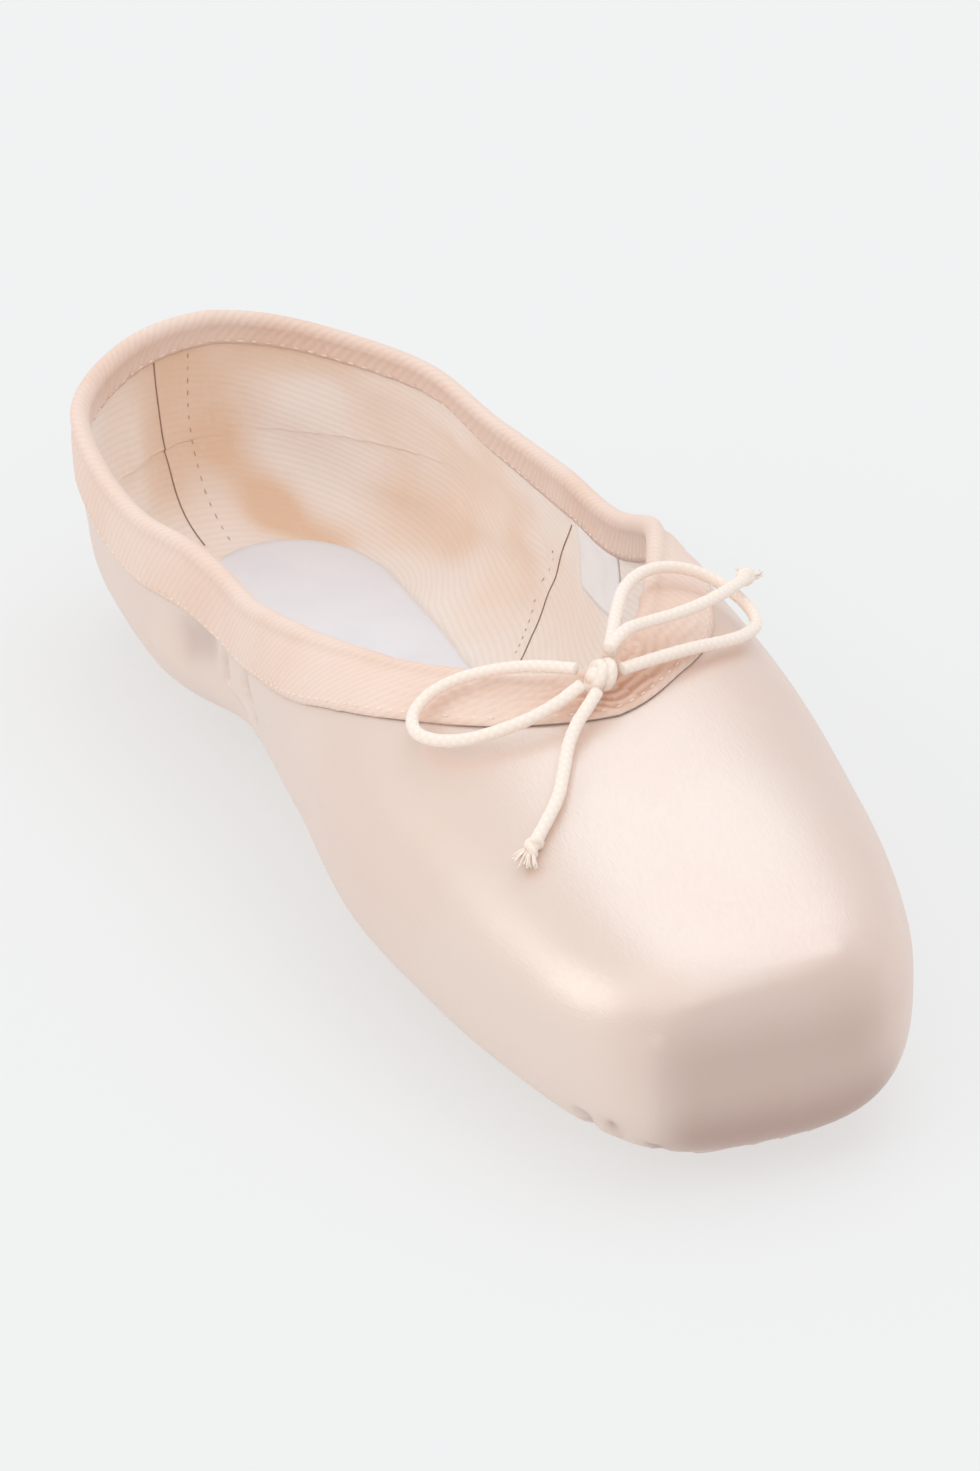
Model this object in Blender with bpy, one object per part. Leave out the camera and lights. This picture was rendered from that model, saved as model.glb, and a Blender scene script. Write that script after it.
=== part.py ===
"""A pointe shoe, as its maker puts it together.

The upper is one hollow wall of satin over canvas, drawn over the last, turned under at the bottom
and stiffened in the toe box. A small leather outsole closes it underneath, an insole lies on its
turned-under edge, and a binding with a drawstring runs round the collar. The drawstring is tied in a
small bow at the throat.

Metres, +Z up. The toe points along -Y, the heel along +Y, and the shoe stands on its sole at z = 0 with
its middle over the origin.
"""
import math
from collections import namedtuple

import bmesh
import bpy
import numpy as np

# Sizes of the last, over the satin
SHOE_LENGTH = 0.240
HEEL_WIDTH = 0.077
WAIST_WIDTH = 0.071
BALL_WIDTH = 0.082
PLATFORM_WIDTH = 0.045
INSTEP_HEIGHT = 0.078
BALL_HEIGHT = 0.055
PLATFORM_HEIGHT = 0.035
GIRTH_HEIGHT = 0.030
ARCH_HEIGHT = 0.0065
HEEL_ROUND = 0.038
TOE_ROUND = 0.046
TOE_EDGE = 12.0
HEEL_EDGE = 2.6

# Collar
HEEL_HEIGHT = 0.048
SIDE_HEIGHT = 0.040
THROAT_HEIGHT = 0.0545
HEEL_LEAN = 0.006
THROAT_TILT = 0.0025
VAMP_LENGTH = 0.068

# Walls, sole and trim
QUARTER_WALL = 0.0014
BOX_WALL = 0.0030
BOX_LENGTH = 0.058
BEND_LENGTH = 0.012
CLEARANCE = 0.0003
SOLE_THICKNESS = 0.0026
SOLE_WIDTH = 0.047
SOLE_WAIST = 0.027
SOLE_HEEL_WIDTH = 0.036
SOLE_HEEL_GAP = 0.013
SOLE_TOE_GAP = 0.027
SOLE_EDGE_RISE = 0.0013
SOLE_EDGE_START = 0.70
SOLE_LAP = 0.0045
INSOLE_THICKNESS = 0.0022
INSOLE_GAP = 0.0007
INSOLE_LAP = 0.0045
BINDING_WIDTH = 0.010
BINDING_THICKNESS = 0.0006
BINDING_HEM = 0.45
ROLL_RADIUS = 0.0017
CORD_DIAMETER = 0.0021
KNOT_SIZE = 0.0064

# How finely the last is sampled
AXIS_HEIGHT = 0.667 * GIRTH_HEIGHT
HEEL_CENTRE = 1.18 * HEEL_ROUND
TOE_CENTRE = SHOE_LENGTH - 1.32 * VAMP_LENGTH
HEEL_STEPS = 9
SIDE_STEPS = 16
TOE_STEPS = 15
WALL_ROWS = 13
PATH_SAMPLES = 72
SOLE_ROWS = 31
CORD_SPACING = 1.6 * CORD_DIAMETER
REACH = 0.71 * SHOE_LENGTH

Section = namedtuple("Section", "station width crown floor girth square_low square_top lean tilt")
SOLE_LEVEL = CLEARANCE + SOLE_THICKNESS

# Stations are shares of the length from the heel, widths are half widths, the lean is a share of
# HEEL_LEAN and the tilt a share of THROAT_TILT
SECTIONS = (
    Section(0.00, 0.37 * HEEL_WIDTH, 1.04 * INSTEP_HEIGHT, SOLE_LEVEL, 0.85 * GIRTH_HEIGHT,
            2.7, 2.4, 1.0, -0.8),
    Section(0.12, 0.475 * HEEL_WIDTH, 1.02 * INSTEP_HEIGHT, SOLE_LEVEL, 0.75 * GIRTH_HEIGHT,
            2.7, 2.4, 0.9, -0.9),
    Section(0.25, 0.50 * HEEL_WIDTH, 0.98 * INSTEP_HEIGHT, SOLE_LEVEL, 0.72 * GIRTH_HEIGHT,
            2.7, 2.3, 0.5, -0.2),
    Section(0.40, 0.50 * WAIST_WIDTH, 0.90 * INSTEP_HEIGHT, ARCH_HEIGHT, 0.95 * GIRTH_HEIGHT,
            2.5, 2.4, 0.2, 0.2),
    Section(0.55, 0.47 * BALL_WIDTH, 0.77 * INSTEP_HEIGHT, 0.75 * ARCH_HEIGHT, 1.00 * GIRTH_HEIGHT,
            2.6, 2.6, 0.3, 1.0),
    Section(0.68, 0.50 * BALL_WIDTH, BALL_HEIGHT, SOLE_LEVEL, 0.86 * GIRTH_HEIGHT,
            2.8, 2.5, 0.3, 0.8),
    Section(0.80, 0.47 * BALL_WIDTH, 0.89 * BALL_HEIGHT, SOLE_LEVEL, 0.74 * GIRTH_HEIGHT,
            2.7, 2.4, 0.1, 0.1),
    Section(0.91, 0.72 * PLATFORM_WIDTH, 1.17 * PLATFORM_HEIGHT, 0.9 * SOLE_LEVEL, 0.66 * GIRTH_HEIGHT,
            2.8, 2.7, 0.0, 0.0),
    Section(1.00, 0.50 * PLATFORM_WIDTH, PLATFORM_HEIGHT, 0.75 * SOLE_LEVEL, 0.58 * GIRTH_HEIGHT,
            3.0, 3.1, 0.0, 0.0),
)

CollarPoint = namedtuple("CollarPoint", "station near far height")
THROAT = SHOE_LENGTH - VAMP_LENGTH

# The rim's own line, with its distance from the middle on the near and the far side, and its height
COLLAR = (
    CollarPoint(0.01 * SHOE_LENGTH, 0.0, 0.0, HEEL_HEIGHT),
    CollarPoint(0.05 * SHOE_LENGTH, 0.32 * HEEL_WIDTH, 0.32 * HEEL_WIDTH, 0.92 * HEEL_HEIGHT),
    CollarPoint(0.11 * SHOE_LENGTH, 0.44 * HEEL_WIDTH, 0.44 * HEEL_WIDTH, 1.05 * SIDE_HEIGHT),
    CollarPoint(0.23 * SHOE_LENGTH, 0.48 * HEEL_WIDTH, 0.48 * HEEL_WIDTH, 0.96 * SIDE_HEIGHT),
    CollarPoint(0.34 * SHOE_LENGTH, 0.50 * WAIST_WIDTH, 0.50 * WAIST_WIDTH, 1.04 * SIDE_HEIGHT),
    CollarPoint(0.42 * SHOE_LENGTH, 0.50 * WAIST_WIDTH, 0.47 * WAIST_WIDTH, 1.07 * SIDE_HEIGHT),
    CollarPoint(0.50 * SHOE_LENGTH, 0.41 * BALL_WIDTH, 0.36 * BALL_WIDTH, 0.86 * THROAT_HEIGHT),
    CollarPoint(THROAT - 0.50 * VAMP_LENGTH, 0.375 * BALL_WIDTH, 0.29 * BALL_WIDTH, 0.93 * THROAT_HEIGHT),
    CollarPoint(THROAT - 0.30 * VAMP_LENGTH, 0.31 * BALL_WIDTH, 0.22 * BALL_WIDTH, 0.96 * THROAT_HEIGHT),
    CollarPoint(THROAT - 0.12 * VAMP_LENGTH, 0.20 * BALL_WIDTH, 0.12 * BALL_WIDTH, 0.98 * THROAT_HEIGHT),
    CollarPoint(THROAT, 0.0, 0.0, THROAT_HEIGHT),
)


# Where the bow lies on the collar's front, as its cord was laid round the knot, and where the knot
# belongs at the throat of the shoe
LAID_KNOT = (-0.0025, -0.0570, 0.0570)
KNOT_PLACE = (-0.0025, SHOE_LENGTH / 2 - THROAT - 0.0050, THROAT_HEIGHT + 0.0025)
BOW = {
    "bow_loop_near": (
        (-0.0060, -0.0558, 0.0583),
        (-0.0095, -0.0528, 0.0580),
        (-0.0130, -0.0500, 0.0574),
        (-0.0175, -0.0474, 0.0563),
        (-0.0225, -0.0458, 0.0549),
        (-0.0272, -0.0460, 0.0532),
        (-0.0306, -0.0482, 0.0513),
        (-0.0314, -0.0516, 0.0503),
        (-0.0296, -0.0552, 0.0502),
        (-0.0258, -0.0582, 0.0509),
        (-0.0210, -0.0600, 0.0523),
        (-0.0160, -0.0606, 0.0537),
        (-0.0112, -0.0600, 0.0551),
        (-0.0063, -0.0584, 0.0567),
    ),
    "bow_loop_far": (
        (0.0000, -0.0543, 0.0588),
        (0.0034, -0.0480, 0.0594),
        (0.0066, -0.0420, 0.0599),
        (0.0102, -0.0364, 0.0605),
        (0.0146, -0.0324, 0.0606),
        (0.0196, -0.0304, 0.0600),
        (0.0250, -0.0304, 0.0583),
        (0.0292, -0.0326, 0.0559),
        (0.0316, -0.0366, 0.0537),
        (0.0312, -0.0412, 0.0527),
        (0.0278, -0.0450, 0.0531),
        (0.0230, -0.0480, 0.0541),
        (0.0168, -0.0508, 0.0555),
        (0.0108, -0.0532, 0.0564),
        (0.0052, -0.0552, 0.0569),
        (0.0011, -0.0565, 0.0571),
    ),
    "bow_end_far": (
        (-0.0008, -0.0558, 0.0607),
        (0.0038, -0.0524, 0.0617),
        (0.0088, -0.0498, 0.0610),
        (0.0142, -0.0474, 0.0602),
        (0.0198, -0.0448, 0.0597),
        (0.0252, -0.0414, 0.0592),
        (0.0296, -0.0376, 0.0585),
        (0.0328, -0.0338, 0.0574),
    ),
    "bow_end_near": (
        (-0.0042, -0.0598, 0.0558),
        (-0.0066, -0.0618, 0.0546),
        (-0.0094, -0.0641, 0.0532),
        (-0.0122, -0.0674, 0.0515),
        (-0.0148, -0.0718, 0.0498),
        (-0.0176, -0.0762, 0.0478),
        (-0.0212, -0.0798, 0.0457),
        (-0.0248, -0.0828, 0.0434),
    ),
}


def monotone(places, values, at):
    """Reads a smooth curve through the values that never swings past them."""
    places = np.asarray(places, float)
    values = np.asarray(values, float)
    at = np.clip(np.asarray(at, float), places[0], places[-1])
    span = np.diff(places)
    slope = np.diff(values) / span
    tangent = np.zeros(len(values))
    for i in range(1, len(values) - 1):
        if slope[i - 1] * slope[i] > 0:
            before = 2 * span[i] + span[i - 1]
            after = span[i] + 2 * span[i - 1]
            tangent[i] = (before + after) / (before / slope[i - 1] + after / slope[i])
    tangent[0] = slope[0]
    tangent[-1] = slope[-1]
    cell = np.clip(np.searchsorted(places, at) - 1, 0, len(span) - 1)
    t = (at - places[cell]) / span[cell]
    return (
        (1 + 2 * t) * (1 - t) ** 2 * values[cell]
        + t * (1 - t) ** 2 * span[cell] * tangent[cell]
        + t * t * (3 - 2 * t) * values[cell + 1]
        - t * t * (1 - t) * span[cell] * tangent[cell + 1]
    )


def smoothstep(low, high, value):
    """Rises from 0 to 1 between the two values."""
    share = np.clip((value - low) / (high - low), 0.0, 1.0)
    return share * share * (3 - 2 * share)


def column(name, along):
    """Reads one column of the sections at distances from the heel."""
    stations = [section.station * SHOE_LENGTH for section in SECTIONS]
    return monotone(stations, [getattr(section, name) for section in SECTIONS], along)


def ends(along):
    """How far the round of the heel and of the toe has closed each section, from 0 to 1."""
    heel = np.clip((HEEL_ROUND - along) / HEEL_ROUND, 0, None) ** HEEL_EDGE
    toe = np.clip((along - SHOE_LENGTH + TOE_ROUND) / TOE_ROUND, 0, None) ** TOE_EDGE
    return heel + toe


def last(side, along, height):
    """Below zero inside the last, above zero outside it."""
    girth = column("girth", along)
    above = height > girth
    power = np.where(above, column("square_top", along), column("square_low", along))
    reach = np.where(above, column("crown", along) - girth, girth - column("floor", along))
    across = np.abs(side / column("width", along)) ** power
    upright = np.abs((height - girth) / reach) ** power
    return across + upright + ends(along) - 1.0


def underside(side, along):
    """Height of the last's underside, where there is one."""
    girth = column("girth", along)
    power = column("square_low", along)
    left = 1.0 - np.abs(side / column("width", along)) ** power - ends(along)
    return girth - (girth - column("floor", along)) * np.clip(left, 0.0, 1.0) ** (1.0 / power)


def outward(points):
    """Unit normals of the last at points on it."""
    step = 1e-5
    slopes = []
    for axis in range(3):
        shift = np.zeros(3)
        shift[axis] = step
        ahead = points + shift
        behind = points - shift
        slopes.append(last(*np.moveaxis(ahead, -1, 0)) - last(*np.moveaxis(behind, -1, 0)))
    normal = np.stack(slopes, axis=-1)
    return normal / np.linalg.norm(normal, axis=-1, keepdims=True)


def wall(along):
    """Thickness of the upper: cloth in the quarters, layers of paste and cloth in the box."""
    start = SHOE_LENGTH - BOX_LENGTH
    return QUARTER_WALL + (BOX_WALL - QUARTER_WALL) * smoothstep(start, start + 0.3 * BOX_LENGTH, along)


def half_rays():
    """Start and plan direction of each ray of one half, from the heel round to the toe."""
    heel = [(HEEL_CENTRE, 90.0 * i / HEEL_STEPS) for i in range(HEEL_STEPS)]
    gap = (TOE_CENTRE - HEEL_CENTRE) / SIDE_STEPS
    side = [(HEEL_CENTRE + gap * i, 90.0) for i in range(SIDE_STEPS)]
    toe = [(TOE_CENTRE, 90.0 + 90.0 * i / TOE_STEPS) for i in range(TOE_STEPS + 1)]
    return heel + side + toe


def ray_place(along, turn):
    """One number that grows along the half, for a ray's start and its turn in degrees."""
    return turn / 90.0 + (along - HEEL_CENTRE) / (TOE_CENTRE - HEEL_CENTRE)


def collar_place(point, spread):
    """The ray that a collar point lies on, and its rise over the last's axis as an angle."""
    start = min(max(point.station, HEEL_CENTRE), TOE_CENTRE)
    back = start - point.station
    turn = math.degrees(math.atan2(spread, back))
    return ray_place(start, turn), math.atan2(point.height - AXIS_HEIGHT, math.hypot(spread, back))


def collar_rise(place, flank):
    """Angle of the rim over the last's axis at a place along the near or the far half."""
    controls = [collar_place(point, getattr(point, flank)) for point in COLLAR]
    return monotone([c[0] for c in controls], [c[1] for c in controls], place)


def cast(start, turn, rise):
    """Where rays leave the last, as (side, along, height)."""
    plan = np.cos(rise)
    towards = np.stack([np.sin(turn) * plan, -np.cos(turn) * plan, np.sin(rise)], axis=-1)
    origin = np.stack([np.zeros_like(start), start, np.full_like(start, AXIS_HEIGHT)], axis=-1)
    near = np.zeros(rise.shape)
    far = np.full(rise.shape, REACH)
    for _ in range(40):
        middle = (near + far) / 2
        point = origin + towards * middle[..., None]
        inside = last(point[..., 0], point[..., 1], point[..., 2]) < 0
        near = np.where(inside, middle, near)
        far = np.where(inside, far, middle)
    return origin + towards * far[..., None]


def sole_half_width(along):
    """Half the outsole's width: round at both ends, narrow at the arch."""
    start = SOLE_HEEL_GAP
    end = SHOE_LENGTH - SOLE_TOE_GAP
    places = [start, 0.22 * SHOE_LENGTH, 0.43 * SHOE_LENGTH, 0.70 * SHOE_LENGTH, end]
    widths = [SOLE_HEEL_WIDTH, SOLE_HEEL_WIDTH, SOLE_WAIST, SOLE_WIDTH, 0.86 * SOLE_WIDTH]
    broad = monotone(places, widths, along) / 2
    heel = np.clip(1 - (along - start) / SOLE_HEEL_WIDTH * 1.7, 0, 1)
    toe = np.clip(1 - (end - along) / SOLE_WIDTH * 1.6, 0, 1)
    return broad * np.sqrt(np.clip(1 - heel ** 2.4, 0, 1)) * np.sqrt(np.clip(1 - toe ** 2.4, 0, 1))


def sole_reach(start, turn, lap):
    """Plan distance of each ray to a line one lap inside the outsole's outline."""
    near = np.zeros(start.shape)
    far = np.full(start.shape, REACH)
    for _ in range(40):
        middle = (near + far) / 2
        side = middle * np.sin(turn)
        along = start - middle * np.cos(turn)
        inside = side + lap < sole_half_width(along)
        near = np.where(inside, middle, near)
        far = np.where(inside, far, middle)
    return near


def low_rise(start, turn, plan):
    """Rise of each ray that meets the last's underside at a plan distance from its start."""
    depth = AXIS_HEIGHT - underside(plan * np.sin(turn), start - plan * np.cos(turn))
    return -np.arctan2(depth, plan)


def spread(values):
    """The same values for every sample of each ray."""
    return np.repeat(values[:, None], PATH_SAMPLES, 1)


def half_spine(flank):
    """Dense lines over one half of the last, one for each ray, from the flange's edge to the rim."""
    rays = half_rays()
    start = np.array([ray[0] for ray in rays])
    turn = np.radians([ray[1] for ray in rays])
    rim = collar_rise(ray_place(start, np.degrees(turn)), flank)
    edge = low_rise(start, turn, sole_reach(start, turn, SOLE_LAP))
    share = np.linspace(0.0, 1.0, PATH_SAMPLES)[None, :]
    rise = edge[:, None] + (rim - edge)[:, None] * share
    return cast(spread(start), spread(turn), rise)


def spine():
    """The dense lines of the whole loop: the far half to the toe, and the near half back to the heel."""
    near = half_spine("near")[-2:0:-1].copy()
    near[..., 0] *= -1
    return np.concatenate([half_spine("far"), near])


def lengths(line):
    """Length along a line at each of its points."""
    return np.concatenate([[0.0], np.cumsum(np.linalg.norm(np.diff(line, axis=0), axis=1))])


def along_line(line, distance):
    """Points at distances below the rim, and above it in line with the last stretch."""
    run = lengths(line)
    at = run[-1] - np.asarray(distance, float)
    inside = np.clip(at, 0.0, run[-1])
    points = np.stack([np.interp(inside, run, line[:, k]) for k in range(3)], axis=-1)
    ahead = line[-1] - line[-3]
    ahead = ahead / np.linalg.norm(ahead)
    return points + np.clip(at - run[-1], 0.0, None)[:, None] * ahead


def rows(line):
    """Distances below the rim of the wall's rows: close together where the line bends."""
    run = lengths(line)
    step = np.diff(line, axis=0)
    step = step / np.linalg.norm(step, axis=1, keepdims=True)
    bend = np.arccos(np.clip((step[1:] * step[:-1]).sum(axis=1), -1, 1))
    weight = np.diff(run)
    weight[1:] += BEND_LENGTH * bend / 2
    weight[:-1] += BEND_LENGTH * bend / 2
    total = np.concatenate([[0.0], np.cumsum(weight)])
    top = np.interp(run[-1] - BINDING_WIDTH, run, total)
    low = np.interp(np.linspace(0.0, top, WALL_ROWS), total, run)
    return np.concatenate([run[-1] - low, [BINDING_WIDTH / 2, 0.0]])


def slump(points):
    """Leans the soft quarters to one side and lifts the far one, and leaves the sole where it is."""
    side, along, height = np.moveaxis(points, -1, 0)
    free = smoothstep(0.1 * HEEL_HEIGHT, 1.2 * HEEL_HEIGHT, height)
    lean = HEEL_LEAN * column("lean", along)
    tilt = THROAT_TILT * column("tilt", along) * side / column("width", along)
    return np.stack([side - lean * free, along, height + tilt * free], axis=-1)


def world(points):
    """From (side, along, height) to the shoe's own frame."""
    points = np.array(slump(np.asarray(points, float)))
    points[..., 1] = SHOE_LENGTH / 2 - points[..., 1]
    return points


def material(name, colour, roughness):
    """A plain finish."""
    finish = bpy.data.materials.new(name)
    finish.use_nodes = True
    shader = finish.node_tree.nodes["Principled BSDF"]
    shader.inputs["Base Color"].default_value = (*colour, 1.0)
    shader.inputs["Roughness"].default_value = roughness
    shader.inputs["Metallic"].default_value = 0.0
    return finish


def add_object(name, mesh, finish):
    """Puts a finished mesh in the scene, shaded smooth."""
    mesh.shade_smooth()
    mesh.materials.append(finish)
    item = bpy.data.objects.new(name, mesh)
    bpy.context.scene.collection.objects.link(item)
    return item


def closed_mesh(name, points, faces):
    """A mesh of one closed body with its faces turned outwards, and with points that meet made one."""
    shell = bmesh.new()
    corners = [shell.verts.new(point) for point in points]
    for face in faces:
        shell.faces.new([corners[i] for i in face])
    bmesh.ops.remove_doubles(shell, verts=shell.verts, dist=1e-6)
    bmesh.ops.recalc_face_normals(shell, faces=shell.faces)
    mesh = bpy.data.meshes.new(name)
    shell.to_mesh(mesh)
    shell.free()
    return mesh


def ring_faces(loops, size):
    """Triangles of a tube that closes on itself both ways: `loops` sections of `size` points."""
    faces = []
    for i in range(loops):
        j = (i + 1) % loops
        for k in range(size):
            m = (k + 1) % size
            faces.append((i * size + k, i * size + m, j * size + m))
            faces.append((i * size + k, j * size + m, j * size + k))
    return faces


def build_upper(lines, finish):
    """The hollow wall: the last's surface outside, the same surface one wall further in inside."""
    sections = []
    for line in lines:
        outer = along_line(line, rows(line))
        thick = wall(outer[:, 1])[:, None]
        inner = outer - outward(outer) * thick
        sections.append(np.concatenate([outer, inner[::-1]]))
    points = world(np.array(sections))
    size = points.shape[1]
    mesh = closed_mesh("upper", points.reshape(-1, 3), ring_faces(len(lines), size))
    return add_object("upper", mesh, finish)


def binding_section(thick):
    """The binding's outline at the rim: distance out of the satin, and distance over the rim.

    It is twice as wide outside the shoe as inside, and thinner at its hems.
    """
    near = CLEARANCE
    out = CLEARANCE + BINDING_THICKNESS
    low = -BINDING_WIDTH
    middle = -thick / 2
    centre = CLEARANCE + 0.35 * ROLL_RADIUS
    hem = CLEARANCE + BINDING_HEM * BINDING_THICKNESS
    outline = [(near, low), (near, low / 2), (near, near)]
    outline += [(-thick - near, near), (-thick - near, low / 2), (-thick - hem, low / 2)]
    for degrees in (212, 170, 125, 90, 55, 10, -32):
        turn = math.radians(degrees)
        outline.append((middle + ROLL_RADIUS * math.cos(turn), centre + ROLL_RADIUS * math.sin(turn)))
    outline += [(out, low / 2), (hem, low)]
    return outline


def build_binding(lines, finish):
    """A folded strip round the collar, with a drawstring in its rolled edge."""
    sections = []
    for line in lines:
        thick = float(wall(line[-1, 1]))
        outline = binding_section(thick)
        base = along_line(line, [-over for _, over in outline])
        foot = along_line(line, [max(0.0, -over) for _, over in outline])
        out = np.array([away for away, _ in outline])[:, None]
        sections.append(base + outward(foot) * out)
    points = world(np.array(sections))
    mesh = closed_mesh("collar_binding", points.reshape(-1, 3), ring_faces(len(lines), points.shape[1]))
    return add_object("collar_binding", mesh, finish)


def build_outsole(finish):
    """A small leather sole that follows the last's underside, flat at the heel and under the ball."""
    start = SOLE_HEEL_GAP
    end = SHOE_LENGTH - SOLE_TOE_GAP
    shares = 0.5 - 0.5 * np.cos(np.pi * np.linspace(0.02, 0.98, SOLE_ROWS))
    across = np.array([-1.0, -0.93, -0.72, -0.36, 0.0, 0.36, 0.72, 0.93, 1.0])
    along = (start + (end - start) * shares)[:, None]
    side = across[None, :] * sole_half_width(along)
    top = underside(side, along) - CLEARANCE * 1.15
    middle = underside(0.0 * along, along) - CLEARANCE - SOLE_THICKNESS
    rise = SOLE_EDGE_RISE * smoothstep(SOLE_EDGE_START, 1.0, np.abs(across))[None, :]
    bottom = np.maximum(middle, 0.0) + rise
    along = np.broadcast_to(along, side.shape)
    upper_side = np.stack([side, along, top], axis=-1)
    lower_side = np.stack([side, along, bottom], axis=-1)
    rings = np.concatenate([upper_side, lower_side[:, ::-1]], axis=1)
    count = rings.shape[0]
    size = rings.shape[1]
    faces = []
    for i in range(count - 1):
        for k in range(size):
            m = (k + 1) % size
            faces.append((i * size + k, i * size + m, (i + 1) * size + m, (i + 1) * size + k))
    half = len(across)
    for base in (0, (count - 1) * size):
        for k in range(half - 1):
            faces.append((base + k, base + k + 1, base + size - 2 - k, base + size - 1 - k))
    points = np.array(rings.reshape(-1, 3))
    points[:, 1] = SHOE_LENGTH / 2 - points[:, 1]
    return add_object("outsole", closed_mesh("outsole", points, faces), finish)


def build_insole(finish):
    """The sock liner on its board: it closes the opening from inside, one lap over its edge."""
    rays = half_rays()
    start = np.array([ray[0] for ray in rays])
    turn = np.radians([ray[1] for ray in rays])
    plan = sole_reach(start, turn, SOLE_LAP - INSOLE_LAP)
    sections = []
    for share in (0.0, 0.35, 0.7, 1.0):
        sections.append(cast(start, turn, low_rise(start, turn, share * plan)))
    bottom = np.stack(sections, axis=1)
    normal = outward(bottom)
    thick = wall(bottom[..., 1])[..., None]
    low = bottom - normal * (thick + INSOLE_GAP)
    high = bottom - normal * (thick + INSOLE_GAP + INSOLE_THICKNESS)
    half = np.concatenate([low, high[:, ::-1]], axis=1)
    other = half[-2:0:-1].copy()
    other[..., 0] *= -1
    points = world(np.concatenate([half, other]))
    loops = points.shape[0]
    size = points.shape[1]
    faces = []
    for i in range(loops):
        j = (i + 1) % loops
        for k in range(size - 1):
            faces.append((i * size + k, i * size + k + 1, j * size + k + 1, j * size + k))
    mesh = closed_mesh("insole", points.reshape(-1, 3), faces)
    return add_object("insole", mesh, finish)


def rounded_route(route):
    """Points along one smooth curve through a cord's own points."""
    marks = np.array(route) + np.array(KNOT_PLACE) - np.array(LAID_KNOT)
    before = np.vstack([2 * marks[0] - marks[1], marks, 2 * marks[-1] - marks[-2]])
    run = np.concatenate([[0.0], np.cumsum(np.linalg.norm(np.diff(before, axis=0), axis=1) ** 0.5)])
    points = []
    for i in range(1, len(before) - 2):
        span = run[i + 1] - run[i]
        slopes = []
        for k in (i, i + 1):
            back = (before[k] - before[k - 1]) / (run[k] - run[k - 1])
            ahead = (before[k + 1] - before[k]) / (run[k + 1] - run[k])
            across = (before[k + 1] - before[k - 1]) / (run[k + 1] - run[k - 1])
            slopes.append((back + ahead - across) * span)
        for t in np.linspace(0.0, 1.0, 9)[:-1]:
            points.append(
                (1 + 2 * t) * (1 - t) ** 2 * before[i]
                + t * (1 - t) ** 2 * slopes[0]
                + t * t * (3 - 2 * t) * before[i + 1]
                - t * t * (1 - t) * slopes[1]
            )
    points.append(before[-2])
    points = np.array(points)
    length = lengths(points)
    count = max(6, int(round(length[-1] / CORD_SPACING)))
    at = np.linspace(0.0, length[-1], count)
    return np.stack([np.interp(at, length, points[:, k]) for k in range(3)], axis=-1)


def build_cord(name, route, finish):
    """A stretch of the drawstring outside its casing."""
    curve = bpy.data.curves.new(name, "CURVE")
    curve.dimensions = "3D"
    curve.bevel_depth = CORD_DIAMETER / 2
    curve.bevel_resolution = 2
    curve.use_fill_caps = True
    path = rounded_route(route)
    spline = curve.splines.new("POLY")
    spline.points.add(len(path) - 1)
    for place, point in zip(spline.points, path):
        place.co = (*point, 1.0)
    curve.materials.append(finish)
    item = bpy.data.objects.new(name, curve)
    bpy.context.scene.collection.objects.link(item)
    return item


def build_knot(finish):
    """The bow's knot, drawn tight against the binding at the throat."""
    shell = bmesh.new()
    bmesh.ops.create_uvsphere(shell, u_segments=16, v_segments=10, radius=KNOT_SIZE / 2)
    bmesh.ops.scale(shell, verts=shell.verts, vec=(1.0, 0.86, 0.86))
    bmesh.ops.translate(shell, verts=shell.verts, vec=KNOT_PLACE)
    mesh = bpy.data.meshes.new("bow_knot")
    shell.to_mesh(mesh)
    shell.free()
    return add_object("bow_knot", mesh, finish)


def main():
    """Clears the scene and builds the shoe."""
    for item in list(bpy.data.objects):
        bpy.data.objects.remove(item)
    satin = material("satin", (0.80, 0.62, 0.53), 0.38)
    twill = material("twill", (0.86, 0.68, 0.55), 0.8)
    leather = material("leather", (0.62, 0.50, 0.40), 0.7)
    cord = material("cord", (0.90, 0.80, 0.70), 0.8)
    sock = material("sock", (0.80, 0.81, 0.83), 0.75)
    lines = spine()
    build_upper(lines, satin)
    build_binding(lines, twill)
    build_outsole(leather)
    build_insole(sock)
    for name, route in BOW.items():
        build_cord(name, route, cord)
    build_knot(cord)


main()
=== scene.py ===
"""A soft pointe shoe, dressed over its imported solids.

Everything is in metres in the frame of the solids: +Z up, the toe along -Y and the heel along +Y, with the
near side of the photograph along -X. The satin cover, the cotton lining, the binding, the sole and the
insole are all cut from one last, so they lie on each other as they do on the maker's bench.
"""
from __future__ import annotations

import logging
import math
from dataclasses import dataclass
from enum import Enum

import bpy
import numpy as np
from mathutils import Matrix, Vector


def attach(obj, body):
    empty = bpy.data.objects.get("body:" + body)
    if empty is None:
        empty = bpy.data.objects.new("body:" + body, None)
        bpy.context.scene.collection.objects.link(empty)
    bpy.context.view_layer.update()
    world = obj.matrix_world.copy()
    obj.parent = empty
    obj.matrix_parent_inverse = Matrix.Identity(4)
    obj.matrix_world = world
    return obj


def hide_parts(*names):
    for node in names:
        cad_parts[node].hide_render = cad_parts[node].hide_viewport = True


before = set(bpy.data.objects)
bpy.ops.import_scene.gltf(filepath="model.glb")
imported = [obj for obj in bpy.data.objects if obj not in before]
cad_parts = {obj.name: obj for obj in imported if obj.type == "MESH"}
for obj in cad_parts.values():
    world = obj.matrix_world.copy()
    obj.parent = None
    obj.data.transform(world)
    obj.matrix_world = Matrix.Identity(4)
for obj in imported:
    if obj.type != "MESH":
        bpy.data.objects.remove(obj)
LOG = logging.getLogger("pointe_shoe")
BODY = "root"
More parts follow.
